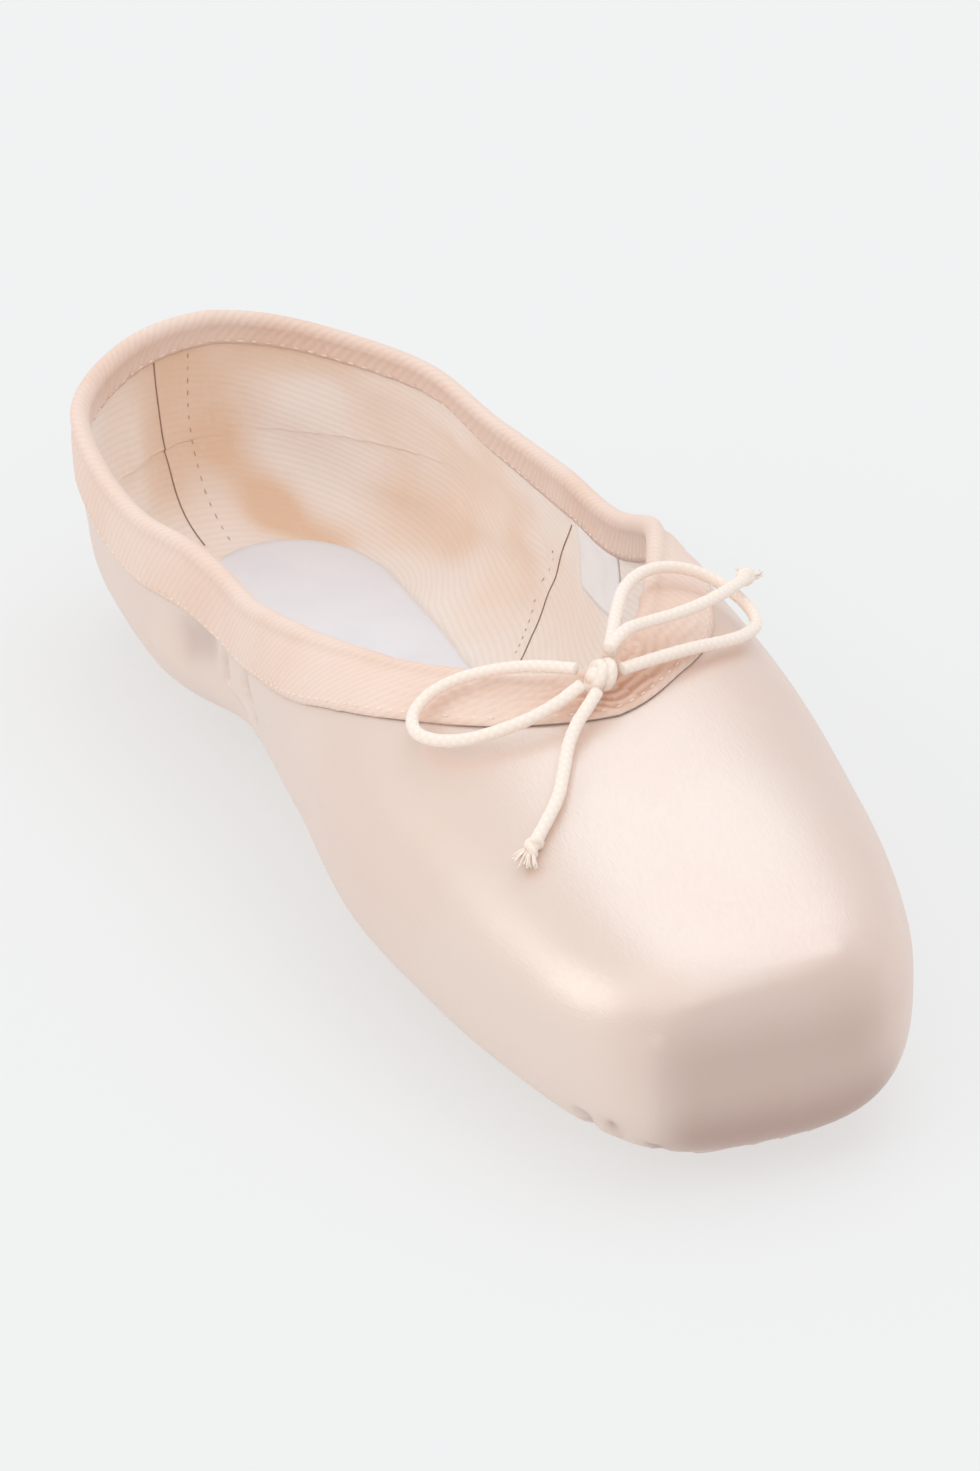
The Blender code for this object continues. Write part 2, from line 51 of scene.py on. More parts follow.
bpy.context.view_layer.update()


def smoothstep(low: float, high: float, value: np.ndarray) -> np.ndarray:
    """Rises from 0 at the low value to 1 at the high one."""
    share = np.clip((value - low) / (high - low), 0.0, 1.0)
    return share * share * (3 - 2 * share)


def monotone(places: np.ndarray, values: np.ndarray, at: np.ndarray) -> np.ndarray:
    """Reads a smooth curve through the values that never swings past them.

    Args:
        places: Where the values stand, in rising order.
        values: The values.
        at: Where the curve is read.

    Returns:
        The curve's value at each place.
    """
    places = np.asarray(places, float)
    values = np.asarray(values, float)
    at = np.clip(np.asarray(at, float), places[0], places[-1])
    span = np.diff(places)
    slope = np.diff(values) / span
    tangent = np.zeros(len(values))
    for i in range(1, len(values) - 1):
        if slope[i - 1] * slope[i] > 0:
            before = 2 * span[i] + span[i - 1]
            after = span[i] + 2 * span[i - 1]
            tangent[i] = (before + after) / (before / slope[i - 1] + after / slope[i])
    tangent[0] = slope[0]
    tangent[-1] = slope[-1]
    cell = np.clip(np.searchsorted(places, at) - 1, 0, len(span) - 1)
    t = (at - places[cell]) / span[cell]
    return (
        (1 + 2 * t) * (1 - t) ** 2 * values[cell]
        + t * (1 - t) ** 2 * span[cell] * tangent[cell]
        + t * t * (3 - 2 * t) * values[cell + 1]
        - t * t * (1 - t) * span[cell] * tangent[cell + 1]
    )


def lengths(line: np.ndarray) -> np.ndarray:
    """Length along a line at each of its points."""
    return np.concatenate([[0.0], np.cumsum(np.linalg.norm(np.diff(line, axis=0), axis=1))])


def unit(vectors: np.ndarray) -> np.ndarray:
    """The same vectors, one unit long."""
    return vectors / np.maximum(np.linalg.norm(vectors, axis=-1, keepdims=True), 1e-12)


@dataclass(frozen=True)
class Section:
    """One cross-section of the last.

    Widths are half widths. The lean and the tilt are shares of the last's own.
    """

    station: float
    width: float
    crown: float
    floor: float
    girth: float
    square_low: float
    square_top: float
    lean: float
    tilt: float


@dataclass(frozen=True)
class CollarPoint:
    """A point of the rim: its distance from the heel, from the middle on each side, and its height."""

    station: float
    near: float
    far: float
    height: float


@dataclass
class Last:
    """The form that the shoe is made on, over the satin, with the rim that is cut on it."""

    length: float = 0.240
    heel_width: float = 0.077
    waist_width: float = 0.071
    ball_width: float = 0.082
    platform_width: float = 0.045
    instep_height: float = 0.078
    ball_height: float = 0.055
    platform_height: float = 0.035
    girth_height: float = 0.030
    arch_height: float = 0.0065
    heel_round: float = 0.038
    toe_round: float = 0.046
    toe_edge: float = 12.0
    heel_edge: float = 2.6
    heel_height: float = 0.048
    side_height: float = 0.040
    throat_height: float = 0.0545
    heel_lean: float = 0.006
    throat_tilt: float = 0.0025
    vamp_length: float = 0.068
    quarter_wall: float = 0.0014
    box_wall: float = 0.0030
    box_length: float = 0.058
    clearance: float = 0.0003
    sole_thickness: float = 0.0026
    sole_width: float = 0.047
    sole_waist: float = 0.027
    sole_heel_width: float = 0.036
    sole_heel_gap: float = 0.013
    sole_toe_gap: float = 0.027
    sole_lap: float = 0.0045
    halvings: int = 34

    def __post_init__(self) -> None:
        """Works out the tables that the sizes give."""
        self.sole_level = self.clearance + self.sole_thickness
        self.axis_height = 0.667 * self.girth_height
        self.heel_centre = 1.18 * self.heel_round
        self.toe_centre = self.length - 1.32 * self.vamp_length
        self.reach = 0.71 * self.length
        self.throat = self.length - self.vamp_length
        rows = self.sections()
        self.stations = np.array([row.station * self.length for row in rows])
        names = ("width", "crown", "floor", "girth", "square_low", "square_top", "lean", "tilt")
        self.columns = {name: np.array([getattr(row, name) for row in rows]) for name in names}

    def sections(self) -> tuple[Section, ...]:
        """Cuts the last into sections.

        Returns:
            The sections, from the heel to the toe.
        """
        heel, waist, ball = self.heel_width, self.waist_width, self.ball_width
        top, girth, sole, arch = self.instep_height, self.girth_height, self.sole_level, self.arch_height
        return (
            Section(0.00, 0.37 * heel, 1.04 * top, sole, 0.85 * girth, 2.7, 2.4, 1.0, -0.8),
            Section(0.12, 0.475 * heel, 1.02 * top, sole, 0.75 * girth, 2.7, 2.4, 0.9, -0.9),
            Section(0.25, 0.50 * heel, 0.98 * top, sole, 0.72 * girth, 2.7, 2.3, 0.5, -0.2),
            Section(0.40, 0.50 * waist, 0.90 * top, arch, 0.95 * girth, 2.5, 2.4, 0.2, 0.2),
            Section(0.55, 0.47 * ball, 0.77 * top, 0.75 * arch, 1.00 * girth, 2.6, 2.6, 0.3, 1.0),
            Section(0.68, 0.50 * ball, self.ball_height, sole, 0.86 * girth, 2.8, 2.5, 0.3, 0.8),
            Section(0.80, 0.47 * ball, 0.89 * self.ball_height, sole, 0.74 * girth, 2.7, 2.4, 0.1, 0.1),
            Section(
                0.91, 0.72 * self.platform_width, 1.17 * self.platform_height, 0.9 * sole, 0.66 * girth,
                2.8, 2.7, 0.0, 0.0,
            ),
            Section(
                1.00, 0.50 * self.platform_width, self.platform_height, 0.75 * sole, 0.58 * girth,
                3.0, 3.1, 0.0, 0.0,
            ),
        )

    def collar(self) -> tuple[CollarPoint, ...]:
        """Marks the rim.

        Returns:
            The points, from the heel to the throat.
        """
        length, heel, waist, ball = self.length, self.heel_width, self.waist_width, self.ball_width
        side, throat, vamp = self.side_height, self.throat_height, self.vamp_length
        return (
            CollarPoint(0.01 * length, 0.0, 0.0, self.heel_height),
            CollarPoint(0.05 * length, 0.32 * heel, 0.32 * heel, 0.92 * self.heel_height),
            CollarPoint(0.11 * length, 0.44 * heel, 0.44 * heel, 1.05 * side),
            CollarPoint(0.23 * length, 0.48 * heel, 0.48 * heel, 0.96 * side),
            CollarPoint(0.34 * length, 0.50 * waist, 0.50 * waist, 1.04 * side),
            CollarPoint(0.42 * length, 0.50 * waist, 0.47 * waist, 1.07 * side),
            CollarPoint(0.50 * length, 0.41 * ball, 0.36 * ball, 0.86 * throat),
            CollarPoint(self.throat - 0.50 * vamp, 0.375 * ball, 0.29 * ball, 0.93 * throat),
            CollarPoint(self.throat - 0.30 * vamp, 0.31 * ball, 0.22 * ball, 0.96 * throat),
            CollarPoint(self.throat - 0.12 * vamp, 0.20 * ball, 0.12 * ball, 0.98 * throat),
            CollarPoint(self.throat, 0.0, 0.0, throat),
        )

    def column(self, name: str, along: np.ndarray) -> np.ndarray:
        """Reads one column of the sections at distances from the heel."""
        return monotone(self.stations, self.columns[name], along)

    def ends(self, along: np.ndarray) -> np.ndarray:
        """How far the round of the heel and of the toe has closed each section, from 0 to 1.

        Args:
            along: Distances from the heel.

        Returns:
            The share at each distance.
        """
        heel = np.clip((self.heel_round - along) / self.heel_round, 0, None) ** self.heel_edge
        toe = np.clip((along - self.length + self.toe_round) / self.toe_round, 0, None) ** self.toe_edge
        return heel + toe

    def outside(self, side: np.ndarray, along: np.ndarray, height: np.ndarray) -> np.ndarray:
        """Below zero inside the last, above zero outside it.

        Args:
            side: Distances to the side.
            along: Distances from the heel.
            height: Heights.

        Returns:
            The value at each place.
        """
        girth = self.column("girth", along)
        above = height > girth
        power = np.where(above, self.column("square_top", along), self.column("square_low", along))
        reach = np.where(above, self.column("crown", along) - girth, girth - self.column("floor", along))
        across = np.abs(side / self.column("width", along)) ** power
        upright = np.abs((height - girth) / reach) ** power
        return across + upright + self.ends(along) - 1.0

    def underside(self, side: np.ndarray, along: np.ndarray) -> np.ndarray:
        """Height of the last's underside, where there is one.

        Args:
            side: Distances to the side.
            along: Distances from the heel.

        Returns:
            The height at each place.
        """
        girth = self.column("girth", along)
        power = self.column("square_low", along)
        left = 1.0 - np.abs(side / self.column("width", along)) ** power - self.ends(along)
        depth = girth - self.column("floor", along)
        return girth - depth * np.clip(left, 0.0, 1.0) ** (1.0 / power)

    def outward(self, points: np.ndarray) -> np.ndarray:
        """Unit normals of the last at points on it.

        Args:
            points: Points as (side, along, height).

        Returns:
            The normal at each point.
        """
        step = 1e-5
        slopes = []
        for axis in range(3):
            shift = np.zeros(3)
            shift[axis] = step
            ahead = self.outside(*np.moveaxis(points + shift, -1, 0))
            behind = self.outside(*np.moveaxis(points - shift, -1, 0))
            slopes.append(ahead - behind)
        return unit(np.stack(slopes, axis=-1))

    def wall(self, along: np.ndarray) -> np.ndarray:
        """Thickness of the upper: cloth in the quarters, layers of paste and cloth in the box.

        Args:
            along: Distances from the heel.

        Returns:
            The thickness at each distance.
        """
        start = self.length - self.box_length
        grow = smoothstep(start, start + 0.3 * self.box_length, along)
        return self.quarter_wall + (self.box_wall - self.quarter_wall) * grow

    def ray_place(self, along: float, turn: float) -> float:
        """One number that grows along the half, for a ray's start and its turn in degrees."""
        return turn / 90.0 + (along - self.heel_centre) / (self.toe_centre - self.heel_centre)

    def collar_rise(self, place: np.ndarray, flank: str) -> np.ndarray:
        """Angle of the rim over the last's axis at places along the near or the far half.

        Args:
            place: Places along the half, as ray_place gives them.
            flank: The half.

        Returns:
            The angle at each place.
        """
        places = []
        rises = []
        for point in self.collar():
            spread = getattr(point, flank)
            start = min(max(point.station, self.heel_centre), self.toe_centre)
            back = start - point.station
            turn = math.degrees(math.atan2(spread, back))
            places.append(self.ray_place(start, turn))
            rises.append(math.atan2(point.height - self.axis_height, math.hypot(spread, back)))
        return monotone(places, rises, place)

    def cast(self, start: np.ndarray, turn: np.ndarray, rise: np.ndarray) -> np.ndarray:
        """Where rays leave the last, as (side, along, height).

        Args:
            start: Where each ray starts, as a distance from the heel.
            turn: Each ray's turn away from the heel.
            rise: Each ray's angle over the axis.

        Returns:
            The points.
        """
        plan = np.cos(rise)
        towards = np.stack([np.sin(turn) * plan, -np.cos(turn) * plan, np.sin(rise)], axis=-1)
        origin = np.stack([np.zeros_like(start), start, np.full_like(start, self.axis_height)], axis=-1)
        near = np.zeros(rise.shape)
        far = np.full(rise.shape, self.reach)
        for _ in range(self.halvings):
            middle = (near + far) / 2
            point = origin + towards * middle[..., None]
            inside = self.outside(point[..., 0], point[..., 1], point[..., 2]) < 0
            near = np.where(inside, middle, near)
            far = np.where(inside, far, middle)
        return origin + towards * far[..., None]

    def sole_half_width(self, along: np.ndarray) -> np.ndarray:
        """Half the outsole's width: round at both ends, narrow at the arch.

        Args:
            along: Distances from the heel.

        Returns:
            The half width at each distance.
        """
        start = self.sole_heel_gap
        end = self.length - self.sole_toe_gap
        places = [start, 0.22 * self.length, 0.43 * self.length, 0.70 * self.length, end]
        heel_width, waist, width = self.sole_heel_width, self.sole_waist, self.sole_width
        broad = monotone(places, [heel_width, heel_width, waist, width, 0.86 * width], along) / 2
        heel = np.clip(1 - (along - start) / heel_width * 1.7, 0, 1)
        toe = np.clip(1 - (end - along) / width * 1.6, 0, 1)
        return broad * np.sqrt(np.clip(1 - heel ** 2.4, 0, 1)) * np.sqrt(np.clip(1 - toe ** 2.4, 0, 1))

    def sole_reach(self, start: np.ndarray, turn: np.ndarray, lap: float) -> np.ndarray:
        """Plan distance of each ray to a line one lap inside the outsole's outline.

        Args:
            start: Where each ray starts, as a distance from the heel.
            turn: Each ray's turn away from the heel.
            lap: How far inside the outline the line lies.

        Returns:
            The distances.
        """
        near = np.zeros(start.shape)
        far = np.full(start.shape, self.reach)
        for _ in range(self.halvings):
            middle = (near + far) / 2
            side = middle * np.sin(turn)
            inside = side + lap < self.sole_half_width(start - middle * np.cos(turn))
            near = np.where(inside, middle, near)
            far = np.where(inside, far, middle)
        return near

    def low_rise(self, start: np.ndarray, turn: np.ndarray, plan: np.ndarray) -> np.ndarray:
        """Rise of each ray that meets the underside at a plan distance from its start."""
        depth = self.axis_height - self.underside(plan * np.sin(turn), start - plan * np.cos(turn))
        return -np.arctan2(depth, plan)

    def lines(self, rays: list[tuple[float, float]], flank: str, samples: int = 150) -> np.ndarray:
        """Dense lines over one half of the last, from the opening underneath up to the rim.

        Args:
            rays: Start along the axis and turn in degrees of each ray.
            flank: The half, "near" or "far".
            samples: Points on each line.

        Returns:
            Points as (ray, sample, (side, along, height)), with the near half on the minus side.
        """
        start = np.array([ray[0] for ray in rays])
        turn = np.radians([ray[1] for ray in rays])
        rim = self.collar_rise(self.ray_place(start, np.degrees(turn)), flank)
        edge = self.low_rise(start, turn, self.sole_reach(start, turn, self.sole_lap))
        share = np.linspace(0.0, 1.0, samples)[None, :]
        rise = edge[:, None] + (rim - edge)[:, None] * share
        points = self.cast(np.repeat(start[:, None], samples, 1), np.repeat(turn[:, None], samples, 1), rise)
        if flank == "near":
            points[..., 0] *= -1
        return points

    def loop(self, heel: int, side: int, toe: int, samples: int = 150) -> np.ndarray:
        """Lines round the whole shoe: the far half to the toe, and the near half back to the heel.

        Args:
            heel: Rays round the heel on each half.
            side: Rays along each flank.
            toe: Rays round the toe on each half.
            samples: Points on each line.

        Returns:
            Points as (ray, sample, (side, along, height)).
        """
        rays = [(self.heel_centre, 90.0 * i / heel) for i in range(heel)]
        gap = (self.toe_centre - self.heel_centre) / side
        rays += [(self.heel_centre + gap * i, 90.0) for i in range(side)]
        rays += [(self.toe_centre, 90.0 + 90.0 * i / toe) for i in range(toe + 1)]
        return np.concatenate([self.lines(rays, "far", samples), self.lines(rays, "near", samples)[-2:0:-1]])

    def slump(self, points: np.ndarray) -> np.ndarray:
        """Leans the soft quarters to one side and lifts the far one, and leaves the sole where it is.

        Args:
            points: Points as (side, along, height).

        Returns:
            The points in their new places.
        """
        side, along, height = np.moveaxis(points, -1, 0)
        free = smoothstep(0.1 * self.heel_height, 1.2 * self.heel_height, height)
        lean = self.heel_lean * self.column("lean", along)
        tilt = self.throat_tilt * self.column("tilt", along) * side / self.column("width", along)
        return np.stack([side - lean * free, along, height + tilt * free], axis=-1)

    def world(self, points: np.ndarray) -> np.ndarray:
        """From (side, along, height) to the shoe's own frame.

        Args:
            points: Points as (side, along, height).

        Returns:
            Points as (x, y, z).
        """
        points = self.slump(np.asarray(points, float))
        points[..., 1] = self.length / 2 - points[..., 1]
        return points


def along_line(line: np.ndarray, distance: np.ndarray) -> np.ndarray:
    """Points at distances below the rim, and above it in line with the last stretch.

    Args:
        line: The line from the bottom edge to the rim.
        distance: Distances below the rim, with a minus for above it.

    Returns:
        The points.
    """
    run = lengths(line)
    at = run[-1] - np.asarray(distance, float)
    inside = np.clip(at, 0.0, run[-1])
    points = np.stack([np.interp(inside, run, line[:, k]) for k in range(3)], axis=-1)
    ahead = unit(line[-1] - line[-3])
    return points + np.clip(at - run[-1], 0.0, None)[:, None] * ahead


def even_rows(line: np.ndarray, count: int, bend_length: float) -> np.ndarray:
    """Distances below the rim, from the bottom edge up, closer together where the line bends.

    Args:
        line: The line from the bottom edge to the rim.
        count: How many distances.
        bend_length: The length that a bend of one radian counts for.

    Returns:
        The distances, falling to 0 at the rim.
    """
    run = lengths(line)
    step = unit(np.diff(line, axis=0))
    bend = np.arccos(np.clip((step[1:] * step[:-1]).sum(axis=1), -1, 1))
    weight = np.diff(run)
    weight[1:] += bend_length * bend / 2
    weight[:-1] += bend_length * bend / 2
    total = np.concatenate([[0.0], np.cumsum(weight)])
    return run[-1] - np.interp(np.linspace(0.0, total[-1], count), total, run)


def smooth_route(marks: np.ndarray, gap: float) -> np.ndarray:
    """Points along one smooth curve through a cord's own points.

    Args:
        marks: The points that the curve passes through.
        gap: The distance between the points given back.

    Returns:
        Points spaced evenly along the curve.
    """
    marks = np.asarray(marks, float)
    before = np.vstack([2 * marks[0] - marks[1], marks, 2 * marks[-1] - marks[-2]])
    run = np.concatenate([[0.0], np.cumsum(np.linalg.norm(np.diff(before, axis=0), axis=1) ** 0.5)])
    points = []
    for i in range(1, len(before) - 2):
        span = run[i + 1] - run[i]
        slopes = []
        for k in (i, i + 1):
            back = (before[k] - before[k - 1]) / (run[k] - run[k - 1])
            ahead = (before[k + 1] - before[k]) / (run[k + 1] - run[k])
            across = (before[k + 1] - before[k - 1]) / (run[k + 1] - run[k - 1])
            slopes.append((back + ahead - across) * span)
        for t in np.linspace(0.0, 1.0, 9)[:-1]:
            points.append(
                (1 + 2 * t) * (1 - t) ** 2 * before[i]
                + t * (1 - t) ** 2 * slopes[0]
                + t * t * (3 - 2 * t) * before[i + 1]
                - t * t * (1 - t) * slopes[1]
            )
    points.append(before[-2])
    points = np.array(points)
    length = lengths(points)
    at = np.linspace(0.0, length[-1], max(6, int(round(length[-1] / gap)) + 1))
    return np.stack([np.interp(at, length, points[:, k]) for k in range(3)], axis=-1)


def volume(points: np.ndarray, faces: np.ndarray) -> float:
    """Six times the volume inside a closed mesh of four-cornered faces."""
    a, b, c, d = (points[faces[:, k]] for k in range(4))
    return float((np.cross(a, b) * c).sum() + (np.cross(a, c) * d).sum())


def add_mesh(
    name: str,
    points: np.ndarray,
    faces: np.ndarray,
    corners: np.ndarray | None = None,
) -> bpy.types.Object:
    """Puts a mesh in the scene, shaded smooth, with its faces turned outwards.

    Args:
        name: The piece's name.
        points: Its points.
        faces: Its four-cornered faces.
        corners: A UV for each corner of each face, if it has them.

    Returns:
        The piece.
    """
    if volume(points, faces) < 0:
        faces = faces[:, ::-1]
        corners = None if corners is None else corners[:, ::-1]
    mesh = bpy.data.meshes.new(name)
    mesh.from_pydata(points.tolist(), [], faces.tolist())
    if corners is not None:
        layer = mesh.uv_layers.new(name="UVMap")
        layer.uv.foreach_set("vector", np.ascontiguousarray(corners, dtype=np.float32).ravel())
    mesh.validate()
    mesh.shade_smooth()
    piece = bpy.data.objects.new(name, mesh)
    bpy.context.scene.collection.objects.link(piece)
    return piece


def ring_mesh(
    name: str,
    sections: np.ndarray,
    run: np.ndarray,
    drop: np.ndarray,
) -> bpy.types.Object:
    """A tube that closes on itself both ways.

    Args:
        name: The piece's name.
        sections: Points as (section, point, xyz).
        run: Distance round the shoe at each section, with the whole length last.
        drop: Distance along the section at each of its points, as (section, point).

    Returns:
        The piece, with the two distances in metres as its UV.
    """
    count, size = sections.shape[:2]
    i, k = np.meshgrid(np.arange(count), np.arange(size), indexing="ij")
    j = (i + 1) % count
    m = (k + 1) % size
    faces = np.stack([i * size + k, i * size + m, j * size + m, j * size + k], axis=-1).reshape(-1, 4)
    wide = np.stack([run[i], run[i], run[i + 1], run[i + 1]], axis=-1)
    deep = np.stack([drop[i, k], drop[i, m], drop[j, m], drop[j, k]], axis=-1)
    corners = np.stack([wide, deep], axis=-1).reshape(-1, 4, 2)
    return add_mesh(name, sections.reshape(-1, 3), faces, corners)


def capped_mesh(name: str, rings: np.ndarray, run: np.ndarray, drop: np.ndarray) -> bpy.types.Object:
    """A tube of closed rings with a flat cap of quads at each end.

    Args:
        name: The piece's name.
        rings: Points as (ring, point, xyz), with an even number of points in each ring.
        run: Distance along the tube at each ring.
        drop: Distance round the ring at each point, with the whole way last.

    Returns:
        The piece, with the two distances in metres as its UV.
    """
    count, size = rings.shape[:2]
    i, k = np.meshgrid(np.arange(count - 1), np.arange(size), indexing="ij")
    m = (k + 1) % size
    faces = [np.stack([i * size + k, i * size + m, (i + 1) * size + m, (i + 1) * size + k], axis=-1)]
    wide = np.stack([run[i], run[i], run[i + 1], run[i + 1]], axis=-1)
    deep = np.stack([drop[k], drop[k + 1], drop[k + 1], drop[k]], axis=-1)
    corners = [np.stack([wide, deep], axis=-1).reshape(-1, 4, 2)]
    faces = [faces[0].reshape(-1, 4)]
    half = size // 2
    for base, turned in ((0, True), ((count - 1) * size, False)):
        k = np.arange(half - 1)
        cap = np.stack([base + k, base + k + 1, base + size - 2 - k, base + size - 1 - k], axis=-1)
        faces.append(cap[:, ::-1] if turned else cap)
        here = run[0] if turned else run[-1]
        place = np.stack([np.full((half - 1, 4), here), np.zeros((half - 1, 4))], axis=-1)
        corners.append(place)
    return add_mesh(name, rings.reshape(-1, 3), np.concatenate(faces), np.concatenate(corners))


def side_vectors(path: np.ndarray) -> tuple[np.ndarray, np.ndarray]:
    """Two vectors across a path at each of its points that don't twist along it.

    Args:
        path: The path's points.

    Returns:
        The first vector and the second vector at each point.
    """
    ahead = unit(np.gradient(path, axis=0))
    first = np.zeros_like(path)
    up = np.array([0.0, 0.0, 1.0])
    first[0] = unit(np.cross(ahead[0], up) if abs(ahead[0][2]) < 0.9 else np.cross(ahead[0], [1.0, 0.0, 0.0]))
    for i in range(1, len(path)):
        lean = first[i - 1] - ahead[i] * (first[i - 1] @ ahead[i])
        first[i] = unit(lean)
    return first, np.cross(ahead, first)


def tube(
    name: str,
    path: np.ndarray,
    radius: np.ndarray,
    around: int,
    flatten: float = 1.0,
) -> bpy.types.Object:
    """A round tube along a path with closed ends.

    Args:
        name: The piece's name.
        path: The points that it follows.
        radius: Its radius at each point.
        around: Points round it.
        flatten: Height over width.

    Returns:
        The piece, with UV in metres along and round it.
    """
    first, second = side_vectors(path)
    turn = np.arange(around) * 2 * math.pi / around
    wide = np.cos(turn)[None, :, None] * first[:, None, :]
    tall = np.sin(turn)[None, :, None] * second[:, None, :] * flatten
    rings = path[:, None, :] + (wide + tall) * np.asarray(radius)[:, None, None]
    round_way = np.linspace(0.0, 2 * math.pi * float(np.mean(radius)), around + 1)
    return capped_mesh(name, rings, lengths(path), round_way)


def joined(name: str, parts: list[bpy.types.Object]) -> bpy.types.Object:
    """Makes several pieces one and keeps their finishes.

    Args:
        name: The new piece's name.
        parts: The pieces.

    Returns:
        The one piece.
    """
    bpy.ops.object.select_all(action="DESELECT")
    for part in parts:
        part.select_set(True)
    bpy.context.view_layer.objects.active = parts[0]
    bpy.ops.object.join()
    parts[0].name = name
    parts[0].data.name = name
    return parts[0]


def linear(red: float, green: float, blue: float) -> tuple[float, float, float, float]:
    """A screen colour from 0 to 255 as the light that it stands for.

    Args:
        red: Its red.
        green: Its green.
        blue: Its blue.

    Returns:
        The colour as light, with nothing of it see-through.
    """
    values = []
    for value in (red, green, blue):
        share = value / 255.0
        values.append(share / 12.92 if share <= 0.04045 else ((share + 0.055) / 1.055) ** 2.4)
    return (*values, 1.0)


class Coordinates(Enum):
    """What a pattern is laid out on."""

    OBJECT = "Object"
    CLOTH = "UV"


class Finish:
    """A finish under construction: one shader, and the nodes that feed it."""

    def __init__(self, name: str, roughness: float) -> None:
        """Starts a finish.

        Args:
            name: The finish's name.
            roughness: The roughness of its surface.
        """
        self.material = bpy.data.materials.new(name)
        self.material.use_nodes = True
        self.tree = self.material.node_tree
        self.shader = self.tree.nodes["Principled BSDF"]
        self.shader.inputs["Roughness"].default_value = roughness
        self.height: bpy.types.NodeSocket | None = None
        self.sources = self.tree.nodes.new("ShaderNodeTexCoord")

    def set(self, **values: float) -> None:
        """Sets the shader's own sockets, with underscores for the spaces in their names."""
        for name, value in values.items():
            self.shader.inputs[name.replace("_", " ")].default_value = value

    def place(
        self,
        on: Coordinates,
        scale: tuple[float, float, float] = (1.0, 1.0, 1.0),
        turn: float = 0.0,
    ) -> bpy.types.NodeSocket:
        """Coordinates, stretched and turned about Z.

        Args:
            on: What the pattern is laid out on.
            scale: How much they are stretched.
            turn: How far they are turned, in radians.

        Returns:
            The coordinates.
        """
        node = self.tree.nodes.new("ShaderNodeMapping")
        node.inputs["Scale"].default_value = scale
        node.inputs["Rotation"].default_value = (0.0, 0.0, turn)
        self.tree.links.new(self.sources.outputs[on.value], node.inputs["Vector"])
        return node.outputs["Vector"]

    def noise(self, where: bpy.types.NodeSocket, scale: float, detail: float = 2.0) -> bpy.types.NodeSocket:
        """Soft random patches, from 0 to 1.

        Args:
            where: The coordinates.
            scale: Patches in one unit of length.
            detail: How many finer layers they have.

        Returns:
            The patches.
        """
        node = self.tree.nodes.new("ShaderNodeTexNoise")
        node.inputs["Scale"].default_value = scale
        node.inputs["Detail"].default_value = detail
        self.tree.links.new(where, node.inputs["Vector"])
        return node.outputs["Fac"]

    def ribs(self, where: bpy.types.NodeSocket, scale: float, wander: float = 0.0) -> bpy.types.NodeSocket:
        """Ribs that run across the first coordinate, from 0 to 1.

        Args:
            where: The coordinates.
            scale: How close they are.
            wander: How far they stray.

        Returns:
            The ribs.
        """
        node = self.tree.nodes.new("ShaderNodeTexWave")
        node.wave_type = "BANDS"
        node.bands_direction = "X"
        node.wave_profile = "SIN"
        node.inputs["Scale"].default_value = scale
        node.inputs["Distortion"].default_value = wander
        node.inputs["Detail Scale"].default_value = 1.5
        self.tree.links.new(where, node.inputs["Vector"])
        return node.outputs["Fac"]

    def levels(
        self,
        value: bpy.types.NodeSocket,
        low: float,
        high: float,
        out_low: float = 0.0,
        out_high: float = 1.0,
    ) -> bpy.types.NodeSocket:
        """Spreads part of a value's range over another range.

        Args:
            value: The value.
            low: Where the part starts.
            high: Where it ends.
            out_low: What its start becomes.
            out_high: What its end becomes.

        Returns:
            The new value.
        """
        node = self.tree.nodes.new("ShaderNodeMapRange")
        node.interpolation_type = "SMOOTHSTEP"
        for name, amount in zip(("From Min", "From Max", "To Min", "To Max"), (low, high, out_low, out_high)):
            node.inputs[name].default_value = amount
        self.tree.links.new(value, node.inputs["Value"])
        return node.outputs["Result"]

    def product(self, first: bpy.types.NodeSocket, second: bpy.types.NodeSocket) -> bpy.types.NodeSocket:
        """Multiplies two values.

        Args:
            first: One value.
            second: The other.

        Returns:
            Their product.
        """
        node = self.tree.nodes.new("ShaderNodeMath")
        node.operation = "MULTIPLY"
        self.tree.links.new(first, node.inputs[0])
        self.tree.links.new(second, node.inputs[1])
        return node.outputs[0]

    def attribute(self, name: str) -> bpy.types.NodeSocket:
        """A number stored on the piece's points.

        Args:
            name: The number's name.

        Returns:
            The number.
        """
        node = self.tree.nodes.new("ShaderNodeAttribute")
        node.attribute_name = name
        return node.outputs["Fac"]

    def mixed(
        self,
        share: bpy.types.NodeSocket,
        first: bpy.types.NodeSocket | tuple[float, float, float, float],
        second: bpy.types.NodeSocket | tuple[float, float, float, float],
    ) -> bpy.types.NodeSocket:
        """Goes from the first colour to the second as the share rises.

        Args:
            share: The share of the second colour.
            first: The first colour.
            second: The second colour.

        Returns:
            The mixed colour.
        """
        node = self.tree.nodes.new("ShaderNodeMix")
        node.data_type = "RGBA"
        self.tree.links.new(share, node.inputs["Factor"])
        for name, colour in (("A", first), ("B", second)):
            target = next(s for s in node.inputs if s.name == name and s.type == "RGBA")
            if isinstance(colour, bpy.types.NodeSocket):
                self.tree.links.new(colour, target)
            else:
                target.default_value = colour
        return next(s for s in node.outputs if s.type == "RGBA")

    def colour(self, socket: bpy.types.NodeSocket) -> None:
        """Feeds the shader's colour."""
        self.tree.links.new(socket, self.shader.inputs["Base Color"])

    def roughness(self, socket: bpy.types.NodeSocket) -> None:
        """Feeds the shader's roughness."""
        self.tree.links.new(socket, self.shader.inputs["Roughness"])

